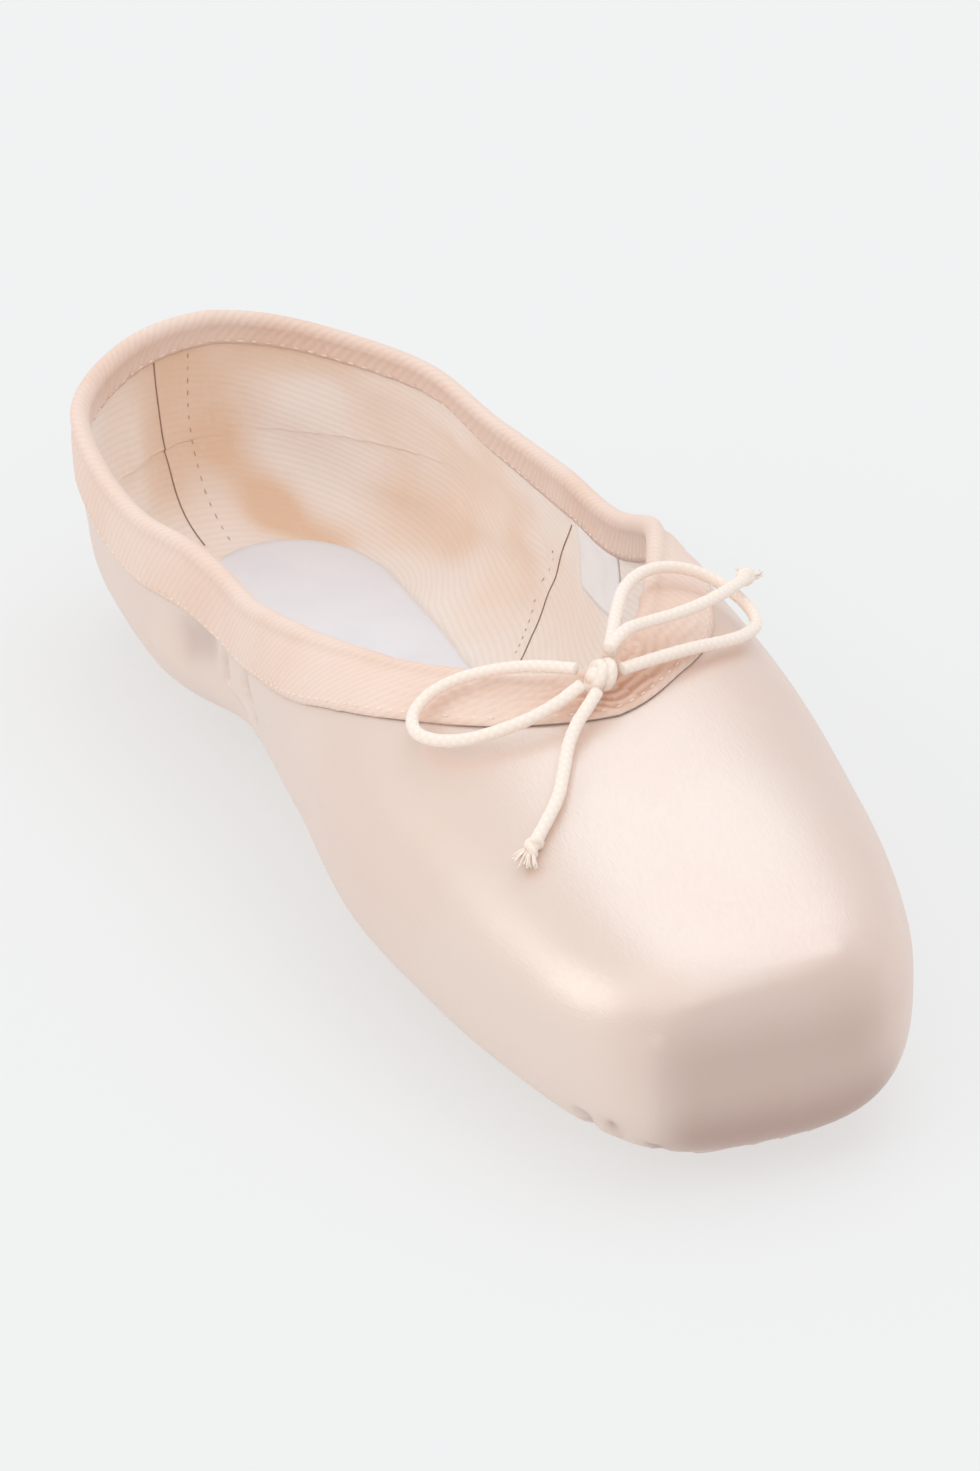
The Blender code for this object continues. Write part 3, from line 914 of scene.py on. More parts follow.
    def bump(self, height: bpy.types.NodeSocket, depth: float) -> None:
        """Raises the surface by a height from 0 to 1 that stands for a depth in metres.

        Args:
            height: The height.
            depth: The depth that a height of 1 stands for.
        """
        node = self.tree.nodes.new("ShaderNodeBump")
        node.inputs["Distance"].default_value = depth
        self.tree.links.new(height, node.inputs["Height"])
        if self.height is not None:
            self.tree.links.new(self.height, node.inputs["Normal"])
        self.height = node.outputs["Normal"]
        self.tree.links.new(self.height, self.shader.inputs["Normal"])


@dataclass(frozen=True)
class SatinFinish:
    """Pale pink satin: a close weave of bright threads with a broad soft gloss, and painted shade where the
    points carry it.
    """

    light: tuple[float, float, float] = (232, 211, 198)
    warm: tuple[float, float, float] = (231, 205, 191)
    # The deep colour is painted shade, not the satin's own colour.
    deep: tuple[float, float, float] = (172, 138, 124)
    roughness: float = 0.36

    def build(self) -> bpy.types.Material:
        """Makes the finish.

        Returns:
            The material.
        """
        satin = Finish("satin", self.roughness)
        cloth = satin.place(Coordinates.OBJECT)
        patches = satin.noise(cloth, 22.0, 3.0)
        base = satin.mixed(satin.levels(patches, 0.35, 0.70), linear(*self.light), linear(*self.warm))
        # Painted shade: the points' shade number mixes in the deep colour.
        satin.colour(satin.mixed(satin.attribute("shade"), base, linear(*self.deep)))
        threads = satin.noise(satin.place(Coordinates.OBJECT, (2600.0, 260.0, 2600.0)), 1.0, 1.0)
        satin.roughness(satin.levels(threads, 0.2, 0.8, self.roughness - 0.05, self.roughness + 0.06))
        satin.bump(threads, 0.00003)
        satin.bump(satin.noise(cloth, 60.0, 2.0), 0.00016)
        satin.set(Metallic=0.15, IOR=1.95, Specular_IOR_Level=0.75, Sheen_Weight=0.05, Sheen_Roughness=0.45)
        satin.shader.inputs["Sheen Tint"].default_value = linear(255, 232, 224)
        return satin.material


@dataclass(frozen=True)
class TwillFinish:
    """Cotton twill: fine slanting ribs, matte, with slubs, and painted shade in its folds and between its
    ribs.
    """

    name: str
    light: tuple[float, float, float]
    warm: tuple[float, float, float]
    # The colour of the painted shade in folds and gathers.
    painted_shade: tuple[float, float, float]
    rib: float
    slant: float
    depth: float = 0.00006

    def build(self) -> bpy.types.Material:
        """Makes the finish.

        Returns:
            The material.
        """
        twill = Finish(self.name, 0.85)
        cloth = twill.place(Coordinates.CLOTH, turn=math.radians(self.slant))
        ribs = twill.ribs(cloth, 0.5 / (self.rib * math.pi), 0.8)
        slubs = twill.noise(twill.place(Coordinates.CLOTH, (700.0, 220.0, 1.0)), 1.0, 3.0)
        place = twill.place(Coordinates.OBJECT)
        patches = twill.noise(place, 34.0, 2.0)
        # Painted shade: the points' shade number mixes in the painted shade colour.
        folds = twill.attribute("shade")
        base = twill.mixed(twill.levels(patches, 0.38, 0.66), linear(*self.light), linear(*self.warm))
        creased = twill.mixed(folds, base, linear(*self.painted_shade))
        # Painted shade in the grooves between the ribs.
        shaded = tuple(0.80 * value for value in linear(*self.warm)[:3]) + (1.0,)
        ribbed = twill.mixed(twill.levels(ribs, 0.0, 0.7, 0.16, 0.0), creased, shaded)
        twill.colour(twill.mixed(twill.levels(slubs, 0.58, 0.75, 0.0, 0.12), ribbed, linear(255, 250, 244)))
        twill.bump(ribs, self.depth)
        twill.bump(slubs, 0.00006)
        twill.set(Sheen_Weight=0.15, Specular_IOR_Level=0.25)
        return twill.material


@dataclass(frozen=True)
class CordFinish:
    """A braided cotton cord."""

    light: tuple[float, float, float] = (252, 240, 230)
    shade: tuple[float, float, float] = (250, 233, 219)

    def build(self) -> bpy.types.Material:
        """Makes the finish.

        Returns:
            The material.
        """
        cord = Finish("cord", 0.8)
        right = cord.ribs(cord.place(Coordinates.CLOTH, turn=math.radians(38)), 270.0)
        left = cord.ribs(cord.place(Coordinates.CLOTH, turn=math.radians(-38)), 270.0)
        braid = cord.product(right, left)
        cord.colour(cord.mixed(cord.levels(braid, 0.0, 0.35), linear(*self.shade), linear(*self.light)))
        cord.bump(braid, 0.00003)
        cord.set(Sheen_Weight=0.2, Specular_IOR_Level=0.3)
        return cord.material


@dataclass(frozen=True)
class PlainFinish:
    """A quiet finish with a fine grain: leather, a sock liner, tape or thread."""

    name: str
    light: tuple[float, float, float]
    shade: tuple[float, float, float]
    roughness: float
    grain: float
    depth: float
    specular: float = 0.4

    def build(self) -> bpy.types.Material:
        """Makes the finish.

        Returns:
            The material.
        """
        plain = Finish(self.name, self.roughness)
        where = plain.place(Coordinates.OBJECT)
        patches = plain.noise(where, self.grain / 12.0, 3.0)
        plain.colour(plain.mixed(plain.levels(patches, 0.35, 0.7), linear(*self.light), linear(*self.shade)))
        grain = plain.noise(where, self.grain, 4.0)
        plain.roughness(plain.levels(grain, 0.3, 0.7, self.roughness - 0.06, self.roughness + 0.06))
        plain.bump(grain, self.depth)
        plain.set(Specular_IOR_Level=self.specular)
        return plain.material


@dataclass(frozen=True)
class FloorFinish:
    """A pale light table: matte, and faintly lit from below."""

    paint: float = 0.30
    glow: float = 0.56

    def build(self) -> bpy.types.Material:
        """Makes the finish.

        Returns:
            The material.
        """
        table = Finish("floor_paint", 0.95)
        grain = table.levels(table.noise(table.place(Coordinates.OBJECT), 900.0), 0.3, 0.7)
        dark = (self.paint * 0.995,) * 3 + (1.0,)
        pale = (self.paint,) * 3 + (1.0,)
        table.colour(table.mixed(grain, pale, dark))
        table.set(Specular_IOR_Level=0.0, Emission_Strength=self.glow)
        table.shader.inputs["Emission Color"].default_value = (1.0, 1.0, 1.0, 1.0)
        return table.material


@dataclass(frozen=True)
class Stroke:
    """A soft stroke drawn between two places of the shoe, in millimetres."""

    start: tuple[float, float, float]
    end: tuple[float, float, float]
    width: float
    amount: float

    def share(self, points: np.ndarray) -> np.ndarray:
        """How much of the stroke reaches each point, from 0 to 1.

        Args:
            points: The points.

        Returns:
            The share at each point.
        """
        start = np.array(self.start) / 1000
        along = np.array(self.end) / 1000 - start
        place = np.clip(((points - start) @ along) / max(float(along @ along), 1e-9), 0.0, 1.0)
        away = np.linalg.norm(points - start - place[..., None] * along, axis=-1)
        return np.exp(-((away / (self.width / 1000)) ** 2))


class Crease(Stroke):
    """A trough or a ridge, whose amount is its rise in millimetres."""


class Tint(Stroke):
    """A patch of painted shade where the cloth is darker, whose amount is its strength from 0 to 1."""


def strokes(drawn: tuple[Stroke, ...], points: np.ndarray) -> np.ndarray:
    """The amounts of all the strokes together at each point.

    Args:
        drawn: The strokes.
        points: Where they are read.

    Returns:
        The amount at each point.
    """
    total = np.zeros(points.shape[:-1])
    for stroke in drawn:
        total += stroke.amount * stroke.share(points)
    return total


def relief(creases: tuple[Crease, ...], points: np.ndarray) -> np.ndarray:
    """How far all the creases together move points outwards, in metres."""
    return strokes(creases, points) / 1000


def store(piece: bpy.types.Object, name: str, values: np.ndarray) -> None:
    """Keeps a number for each point of a piece, for its finish to read."""
    layer = piece.data.attributes.new(name, "FLOAT", "POINT")
    layer.data.foreach_set("value", np.ascontiguousarray(values, dtype=np.float32).ravel())


SATIN_CREASES = (
    Crease((-37.2, 25.4, 36.4), (-35.8, 25.3, 24.6), 1.2, -1.0),
    Crease((-35.8, 25.3, 24.6), (-35.4, 14.4, 21.7), 1.2, -1.0),
    Crease((-35.4, 14.4, 21.7), (-34.0, 10.0, 12.0), 1.4, -0.8),
    Crease((-37.5, 14.5, 36.3), (-36.4, 14.6, 28.3), 1.1, -0.9),
    Crease((-36.4, 14.6, 28.3), (-36.8, 8.1, 25.5), 1.1, -0.8),
    Crease((-37.2, 20.0, 35.5), (-36.0, 20.0, 26.0), 2.4, 0.65),
    Crease((-36.0, 20.0, 26.0), (-36.0, 11.0, 22.5), 1.6, 0.40),
    Crease((-37.6, 41.8, 25.6), (-36.6, 33.3, 29.2), 3.8, -1.2),
    Crease((-38.5, 50.0, 20.0), (-36.0, 28.0, 18.0), 4.0, 0.8),
    Crease((-38.0, 60.0, 31.0), (-36.5, 40.0, 35.0), 3.5, 0.6),
    Crease((-26.8, -107.8, 10.2), (-19.0, -103.0, 3.0), 1.2, -1.3),
    Crease((-23.0, -111.7, 10.6), (-16.5, -106.0, 3.0), 1.2, -1.5),
    Crease((-17.8, -114.8, 7.6), (-13.0, -109.0, 3.0), 1.2, -1.3),
    Crease((2.9, -119.8, 15.5), (3.2, -118.9, 9.3), 0.9, 0.40),
    Crease((-18.6, -117.0, 24.5), (-18.7, -117.4, 8.0), 2.0, 1.1),
    Crease((-12.0, -116.4, 31.2), (12.0, -115.4, 33.0), 2.6, 0.6),
    Crease((17.0, -116.3, 29.5), (17.0, -117.6, 14.0), 3.0, 0.4),
)

# Painted shade on the satin: the platform face darker, and shade along the quarter's creases and in the pleat
# notches under the toe.
SATIN_PAINTED_SHADE = (
    Tint((-12.0, -120.0, 22.0), (12.0, -120.0, 22.0), 9.0, 0.58),
    Tint((-12.0, -120.0, 8.0), (18.0, -118.0, 8.0), 7.0, 0.85),
    Tint((-37.6, 40.0, 26.0), (-36.8, 34.0, 28.5), 3.8, 0.50),
    Tint((-35.8, 25.3, 28.0), (-35.4, 14.4, 21.7), 1.2, 0.48),
    Tint((-36.6, 14.6, 34.0), (-36.6, 9.0, 26.0), 1.1, 0.42),
    Tint((-26.6, -108.0, 10.2), (-22.4, -106.0, 4.0), 1.2, 0.75),
    Tint((-23.0, -111.7, 10.8), (-19.0, -108.5, 4.0), 1.2, 0.95),
    Tint((-17.8, -114.8, 8.0), (-15.0, -111.0, 3.5), 1.2, 0.85),
)

LINING_CREASES = (
    Crease((-2.0, 118.0, 30.0), (16.0, 108.0, 9.0), 5.0, -1.2),
    Crease((8.0, 117.0, 30.0), (26.0, 104.0, 15.0), 6.0, 1.5),
    Crease((24.0, 108.0, 34.0), (34.0, 92.0, 22.0), 4.5, -1.0),
    Crease((31.0, 98.0, 33.0), (37.0, 72.0, 29.0), 4.0, 0.9),
    Crease((34.0, 86.0, 14.0), (37.0, 66.0, 20.0), 4.0, 1.2),
    Crease((37.0, 70.0, 28.0), (36.5, 60.0, 18.0), 3.0, -0.9),
    Crease((-22.0, 112.0, 36.0), (-21.0, 112.0, 18.0), 3.5, 1.0),
)

# Painted shade on the lining: darker patches in its folds at the heel and along the far quarter.
LINING_PAINTED_SHADE = (
    Tint((-16.0, 115.0, 46.0), (-14.0, 116.5, 20.0), 7.0, 0.75),
    Tint((-8.0, 118.0, 44.0), (-4.0, 118.0, 30.0), 7.0, 0.65),
    Tint((-4.0, 118.0, 24.0), (4.0, 114.0, 12.0), 5.0, 0.95),
    Tint((4.0, 114.0, 12.0), (12.0, 104.0, 7.0), 4.0, 0.95),
    Tint((2.0, 117.0, 42.0), (18.0, 113.0, 38.0), 4.5, 0.55),
    Tint((22.0, 108.0, 30.0), (27.0, 104.0, 22.0), 5.0, 0.35),
    Tint((26.0, 102.0, 14.0), (31.0, 88.0, 11.0), 5.0, 0.50),
    Tint((35.0, 72.0, 20.0), (35.0, 62.0, 12.0), 4.0, 0.30),
    Tint((34.5, 82.0, 30.0), (36.5, 68.0, 24.0), 4.0, 0.35),
    Tint((-24.0, 110.0, 30.0), (-23.0, 111.0, 20.0), 3.0, -0.60),
    Tint((14.0, 114.0, 33.0), (10.0, 117.0, 22.0), 4.0, -0.50),
)


@dataclass
class SatinUpper:
    """The satin cover, drawn over the last and pleated under it, and the cotton lining inside it."""

    last: Last
    heel_steps: int = 40
    side_steps: int = 112
    toe_steps: int = 116
    rows: int = 92
    lining_rows: int = 70
    bend_length: float = 0.012
    cloth: float = 0.0007
    gap: float = 0.0001
    pleat_pitch: float = 0.0052
    pleat_rise: float = 0.0007
    tape_reach: float = 0.0095
    back_rows: int = 14
    lining_least: float = -0.0006
    lining_most: float = 0.0022

    def __post_init__(self) -> None:
        """Draws the lines that both cloths are cut on."""
        self.lines = self.last.loop(self.heel_steps, self.side_steps, self.toe_steps)
        middle = self.lines[:, self.lines.shape[1] // 2]
        steps = np.linalg.norm(np.roll(middle, -1, axis=0) - middle, axis=1)
        self.run = np.concatenate([[0.0], np.cumsum(steps)])

    def sheet(self, rows: int) -> tuple[np.ndarray, np.ndarray, np.ndarray]:
        """Spreads points over the last.

        Args:
            rows: Points on each line.

        Returns:
            The points, their normals and their distances below the rim.
        """
        drops = np.array([even_rows(line, rows, self.bend_length) for line in self.lines])
        points = np.array([along_line(line, drop) for line, drop in zip(self.lines, drops)])
        return points, self.last.outward(points), drops

    def pleats(self, points: np.ndarray, normals: np.ndarray) -> np.ndarray:
        """Height of the folds that the satin is gathered into under the shoe.

        Args:
            points: Points on the last.
            normals: Their normals.

        Returns:
            The height at each point.
        """
        edge = points[:, 0]
        steps = np.linalg.norm(np.roll(edge, -1, axis=0) - edge, axis=1)
        run = np.concatenate([[0.0], np.cumsum(steps)[:-1]])
        turns = run / self.pleat_pitch
        turns = turns + 0.22 * np.sin(1.7 * turns) + 0.15 * np.sin(0.61 * turns + 1.0)
        share = turns - np.floor(turns)
        fold = smoothstep(0.0, 0.75, share) * (1 - smoothstep(0.80, 1.0, share))
        under = smoothstep(0.86, 0.995, -normals[..., 2])
        along = points[..., 1]
        toe = smoothstep(self.last.length - 0.075, self.last.length - 0.045, along)
        heel = 1 - smoothstep(0.022, 0.045, along)
        return self.pleat_rise * fold[:, None] * under * (0.25 + 0.75 * np.maximum(toe, heel))

    def creases(self, points: np.ndarray, normals: np.ndarray, drops: np.ndarray) -> np.ndarray:
        """Rise of the satin's creases, which fade out under the tape and under the shoe.

        Args:
            points: Points on the last.
            normals: Their normals.
            drops: Their distances below the rim.

        Returns:
            The rise at each point.
        """
        clear = smoothstep(self.tape_reach, self.tape_reach + 0.0025, drops)
        side = 1 - smoothstep(0.90, 0.99, -normals[..., 2])
        return relief(SATIN_CREASES, self.last.world(points)) * clear * side

    def build_cover(self, satin: bpy.types.Material) -> bpy.types.Object:
        """Makes the satin cover.

        Args:
            satin: Its finish.

        Returns:
            The cover.
        """
        points, normals, drops = self.sheet(self.rows)
        rise = self.pleats(points, normals) + self.creases(points, normals, drops)
        outer = points + normals * rise[..., None]
        kept = np.linspace(self.rows - 1, 0, self.back_rows).round().astype(int)
        inner = (outer - normals * self.cloth)[:, kept]
        sections = self.last.world(np.concatenate([outer, inner], axis=1))
        drop = np.concatenate([drops, drops[:, kept]], axis=1)
        cover = ring_mesh("satin_cover", sections, self.run, drop)
        # Painted shade: each point's share of the painted shade strokes.
        store(cover, "shade", np.clip(strokes(SATIN_PAINTED_SHADE, sections), 0.0, 1.0))
        cover.data.materials.append(satin)
        return cover

    def build_lining(self, cotton: bpy.types.Material) -> bpy.types.Object:
        """Makes the cotton lining, soft and creased in the quarters.

        Args:
            cotton: Its finish.

        Returns:
            The lining.
        """
        points, normals, drops = self.sheet(self.lining_rows)
        give = np.minimum(self.creases(points, normals, drops), 0.0)
        points = points + normals * give[..., None]
        thick = self.last.wall(points[..., 1])
        free = smoothstep(0.007, 0.014, drops) * smoothstep(-0.75, -0.35, normals[..., 2])
        inner_face = points - normals * thick[..., None]
        rise = relief(LINING_CREASES, self.last.world(inner_face)) * free
        inner = inner_face - normals * np.clip(rise, self.lining_least, self.lining_most)[..., None]
        kept = np.linspace(self.lining_rows - 1, 0, self.back_rows).round().astype(int)
        outer = (points - normals * (self.cloth + self.gap))[:, kept]
        sections = self.last.world(np.concatenate([inner, outer], axis=1))
        drop = np.concatenate([drops, drops[:, kept]], axis=1)
        lining = ring_mesh("cotton_lining", sections, self.run, drop)
        # Painted shade in the lining's folds.
        store(lining, "shade", np.clip(strokes(LINING_PAINTED_SHADE, sections), 0.0, 1.0))
        lining.data.materials.append(cotton)
        return lining


@dataclass
class CollarBinding:
    """The folded tape round the rim, with the drawstring's casing rolled into its edge."""

    last: Last
    heel_steps: int = 50
    side_steps: int = 84
    toe_steps: int = 96
    width: float = 0.010
    inner_width: float = 0.005
    thickness: float = 0.0006
    hem: float = 0.45
    roll_radius: float = 0.0017
    ripple_pitch: float = 0.0030
    ripple: float = 0.00010
    gather_pitch: float = 0.0019
    gather: float = 0.00018
    shade_middle: float = 0.0020
    shade_width: float = 0.0080
    stitch_drop: float = 0.0088
    inner_stitch_drop: float = 0.0040

    def __post_init__(self) -> None:
        """Draws the lines that the tape is cut on."""
        self.lines = self.last.loop(self.heel_steps, self.side_steps, self.toe_steps, 110)
        rim = self.lines[:, -1]
        steps = np.linalg.norm(np.roll(rim, -1, axis=0) - rim, axis=1)
        self.run = np.concatenate([[0.0], np.cumsum(steps)])

    def inner_share(self, rim: np.ndarray) -> float:
        """How wide the tape is inside the shoe at a point of the rim, as a share of its inner width."""
        return float(0.72 + 0.48 * smoothstep(0.020, 0.070, rim[1]))

    def outline(self, thick: float, share: float) -> list[tuple[float, float]]:
        """The tape's section at the rim.

        Args:
            thick: The upper's thickness there.
            share: How wide the tape is inside, as a share of its inner width.

        Returns:
            Distance out of the satin, and distance over the rim, of each point.
        """
        near = self.last.clearance
        out = near + self.thickness
        hem = near + self.hem * self.thickness
        low, inner = -self.width, -self.inner_width * share
        middle = -thick / 2
        centre = near + 0.35 * self.roll_radius
        outline = [(0.00005, low)] + [(near, low * part) for part in (0.75, 0.5, 0.25)]
        outline += [(near, near), (-thick - near, near)]
        outline += [(-thick - near, inner * part) for part in (0.5, 1.0)]
        outline += [(-thick - hem, inner - 0.0002), (-thick - out, 0.8 * inner), (-thick - out, 0.6 * inner)]
        for degrees in range(214, -40, -14):
            turn = math.radians(degrees)
            across = middle + self.roll_radius * math.cos(turn)
            outline.append((across, centre + self.roll_radius * math.sin(turn)))
        outline += [(out, low * part) for part in np.linspace(0.16, 0.92, 18)]
        outline += [(0.0004, low)]
        return outline

    def waves(self, rim: np.ndarray, over: np.ndarray) -> np.ndarray:
        """How far the tape stands proud: small ripples, and gathers along the rim at the throat.

        Args:
            rim: The line's end at the rim.
            over: Distance over the rim of each point of the section.

        Returns:
            The rise of each point.
        """
        throat = float(1 - smoothstep(0.008, 0.022, self.last.throat - rim[1]))
        place = rim[0]
        ripple = math.sin(place / self.ripple_pitch * 2 * math.pi + 1.3 * math.sin(place * 190.0))
        wander = 0.0011 * math.sin(place * 330.0) + 0.0006 * math.sin(place * 810.0 + 1.0)
        gather = np.sin((over + wander) / self.gather_pitch * 2 * math.pi)
        return self.ripple * ripple * (1 - throat) + self.gather * gather * throat

    def build(self, twill: bpy.types.Material) -> bpy.types.Object:
        """Makes the binding, with painted shade in the gathers by the knot.

        Args:
            twill: Its finish.

        Returns:
            The binding.
        """
        sections = []
        drops = []
        shades = []
        for line in self.lines:
            rim = line[-1]
            thick = float(self.last.wall(rim[1]))
            outline = np.array(self.outline(thick, self.inner_share(rim)))
            over = outline[:, 1]
            base = along_line(line, -over)
            foot = along_line(line, np.maximum(0.0, -over))
            face = np.where(outline[:, 0] > -thick / 2, 1.0, -1.0)
            inside = np.abs(outline[:, 0] + thick / 2) < thick / 2 + self.last.clearance + 1e-6
            skirt = smoothstep(-self.width, -0.8 * self.width, over) * smoothstep(0.0010, -0.0010, over)
            rise = self.waves(rim, over) * np.where(inside, 0.0, 1.0) * skirt
            out = outline[:, 0] + face * np.maximum(rise, -0.4 * self.thickness)
            sections.append(base + self.last.outward(foot) * out[:, None])
            drops.append(np.concatenate([[0.0], np.cumsum(np.linalg.norm(np.diff(outline, axis=0), axis=1))]))
            # Painted shade in the gathers by the knot: strong in the valleys, faint over the rest of the
            # patch.
            front = rim[1] > 0.5 * self.last.length
            knot = math.exp(-(((rim[0] - self.shade_middle) / self.shade_width) ** 2)) if front else 0.0
            shades.append(knot * np.where(rise < 0, 0.9, 0.25) * skirt)
        sections = self.last.world(np.array(sections))
        binding = ring_mesh("collar_tape", sections, self.run, np.array(drops))
        store(binding, "shade", np.array(shades))
        binding.data.materials.append(twill)
        return binding

    def edge_path(self, drop: float, inside: bool) -> tuple[np.ndarray, np.ndarray]:
        """A closed path on the tape for a row of stitches.

        Args:
            drop: Distance below the rim.
            inside: Whether it runs inside the shoe.

        Returns:
            The path's points and the direction that it runs in at each.
        """
        points = []
        for line in self.lines:
            thick = float(self.last.wall(line[-1, 1]))
            out = self.last.clearance + self.thickness + 0.00002
            share = self.inner_share(line[-1]) if inside else 1.0
            place = along_line(line, np.array([drop * share]))
            away = -thick - out if inside else out
            points.append((place + self.last.outward(place) * away)[0])
        path = self.last.world(np.array(points))
        ahead = unit(np.roll(path, -1, axis=0) - np.roll(path, 1, axis=0))
        return path, ahead


@dataclass
class StitchRow:
    """A row of stitches along a path: Geometry Nodes space them and lay each one in its direction."""

    pitch: float
    length: float
    thickness: float
    seed: int = 4

    def tree(self) -> bpy.types.NodeTree:
        """Builds the node tree with its named inputs.

        Returns:
            The tree.
        """
        tree = bpy.data.node_groups.new("Stitch row", "GeometryNodeTree")
        tree.interface.new_socket("Geometry", in_out="OUTPUT", socket_type="NodeSocketGeometry")
        tree.interface.new_socket("Geometry", in_out="INPUT", socket_type="NodeSocketGeometry")
        for name in ("Pitch", "Length", "Thickness"):
            tree.interface.new_socket(name, in_out="INPUT", socket_type="NodeSocketFloat")
        tree.interface.new_socket("Seed", in_out="INPUT", socket_type="NodeSocketInt")
        tree.interface.new_socket("Thread", in_out="INPUT", socket_type="NodeSocketMaterial")
        new, link = tree.nodes.new, tree.links.new
        start = new("NodeGroupInput")
        end = new("NodeGroupOutput")
        curve = new("GeometryNodeMeshToCurve")
        spaced = new("GeometryNodeResampleCurve")
        spaced.mode = "LENGTH"
        lie = new("GeometryNodeInputNamedAttribute")
        lie.data_type = "FLOAT_VECTOR"
        lie.inputs["Name"].default_value = "lie"
        turned = new("FunctionNodeAlignRotationToVector")
        turned.axis = "X"
        bead = new("GeometryNodeMeshUVSphere")
        bead.inputs["Segments"].default_value = 6
        bead.inputs["Rings"].default_value = 4
        bead.inputs["Radius"].default_value = 0.5
        size = new("ShaderNodeCombineXYZ")
        loose = new("FunctionNodeRandomValue")
        loose.data_type = "FLOAT"
        for name, value in (("Min", 0.85), ("Max", 1.1)):
            next(s for s in loose.inputs if s.name == name and s.type == "VALUE").default_value = value
        long = new("ShaderNodeMath")
        long.operation = "MULTIPLY"
        place = new("GeometryNodeInstanceOnPoints")
        real = new("GeometryNodeRealizeInstances")
        finish = new("GeometryNodeSetMaterial")
        smooth = new("GeometryNodeSetShadeSmooth")
        link(start.outputs["Geometry"], curve.inputs["Mesh"])
        link(curve.outputs["Curve"], spaced.inputs["Curve"])
        link(start.outputs["Pitch"], spaced.inputs["Length"])
        link(spaced.outputs["Curve"], place.inputs["Points"])
        link(bead.outputs["Mesh"], place.inputs["Instance"])
        link(lie.outputs["Attribute"], turned.inputs["Vector"])
        link(turned.outputs["Rotation"], place.inputs["Rotation"])
        link(start.outputs["Seed"], loose.inputs["Seed"])
        link(next(s for s in loose.outputs if s.type == "VALUE"), long.inputs[0])
        link(start.outputs["Length"], long.inputs[1])
        link(long.outputs[0], size.inputs["X"])
        link(start.outputs["Thickness"], size.inputs["Y"])
        link(start.outputs["Thickness"], size.inputs["Z"])
        link(size.outputs["Vector"], place.inputs["Scale"])
        link(place.outputs["Instances"], real.inputs["Geometry"])
        link(real.outputs["Geometry"], smooth.inputs["Geometry"])
        link(smooth.outputs["Geometry"], finish.inputs["Geometry"])
        link(start.outputs["Thread"], finish.inputs["Material"])
        link(finish.outputs["Geometry"], end.inputs["Geometry"])
        return tree

    def build(
        self,
        name: str,
        path: np.ndarray,
        lie: np.ndarray,
        closed: bool,
        thread: bpy.types.Material,
    ) -> bpy.types.Object:
        """Sews the row.

        Args:
            name: The piece's name.
            path: The points of the row.
            lie: The direction that a stitch lies in at each point.
            closed: Whether the path closes on itself.
            thread: The stitches' finish.

        Returns:
            The stitches as one plain mesh.
        """
        mesh = bpy.data.meshes.new(name)
        edges = [(i, i + 1) for i in range(len(path) - 1)]
        if closed:
            edges.append((len(path) - 1, 0))
        mesh.from_pydata(path.tolist(), edges, [])
        stored = mesh.attributes.new("lie", "FLOAT_VECTOR", "POINT")
        stored.data.foreach_set("vector", np.ascontiguousarray(lie, dtype=np.float32).ravel())
        carrier = bpy.data.objects.new(name + "_path", mesh)
        bpy.context.scene.collection.objects.link(carrier)
        modifier = carrier.modifiers.new("Stitches", "NODES")
        tree = self.tree()
        sockets = {item.name: item.identifier for item in tree.interface.items_tree if item.in_out == "INPUT"}
        modifier.node_group = tree
        modifier[sockets["Pitch"]] = self.pitch
        modifier[sockets["Length"]] = self.length
        modifier[sockets["Thickness"]] = self.thickness
        modifier[sockets["Seed"]] = self.seed
        modifier[sockets["Thread"]] = thread
        graph = bpy.context.evaluated_depsgraph_get()
        made = bpy.data.meshes.new_from_object(carrier.evaluated_get(graph))
        made.name = name
        bpy.data.objects.remove(carrier)
        piece = bpy.data.objects.new(name, made)
        bpy.context.scene.collection.objects.link(piece)
        return piece


@dataclass(frozen=True)
class LiningSeam:
    """A seam of the lining, as a fine line of thread with a row of small stitches beside it."""

    name: str
    marks: tuple[tuple[float, float, float], ...]
    stitch_marks: tuple[tuple[float, float, float], ...]
    thread: float = 0.00013

    def laid(self, lining: bpy.types.Object, marks: tuple[tuple[float, float, float], ...]) -> np.ndarray:
        """A path over marks in millimetres, laid on the lining.

        Args:
            lining: The lining that carries it.
            marks: Places near the lining.

        Returns:
            Points on the lining's surface.
        """
        path = smooth_route(np.array(marks) / 1000, 0.0006)
        points = []
        for point in path:
            _, place, normal, _ = lining.closest_point_on_mesh(Vector(point))
            points.append(np.array(place + normal * 0.5 * self.thread))
        return np.array(points)

    def build(self, lining: bpy.types.Object, line: bpy.types.Material) -> bpy.types.Object:
        """Draws the seam's line.

        Args:
            lining: The lining that carries it.
            line: Its finish.

        Returns:
            The line.
        """
        path = self.laid(lining, self.marks)
        seam = tube(self.name, path, np.full(len(path), self.thread), 8)
        seam.data.materials.append(line)
        return seam

    def stitches(self, lining: bpy.types.Object) -> tuple[np.ndarray, np.ndarray]:
        """Gives the places of the stitches beside the seam, and how each one lies."""
        path = self.laid(lining, self.stitch_marks)
        return path, unit(np.gradient(path, axis=0))


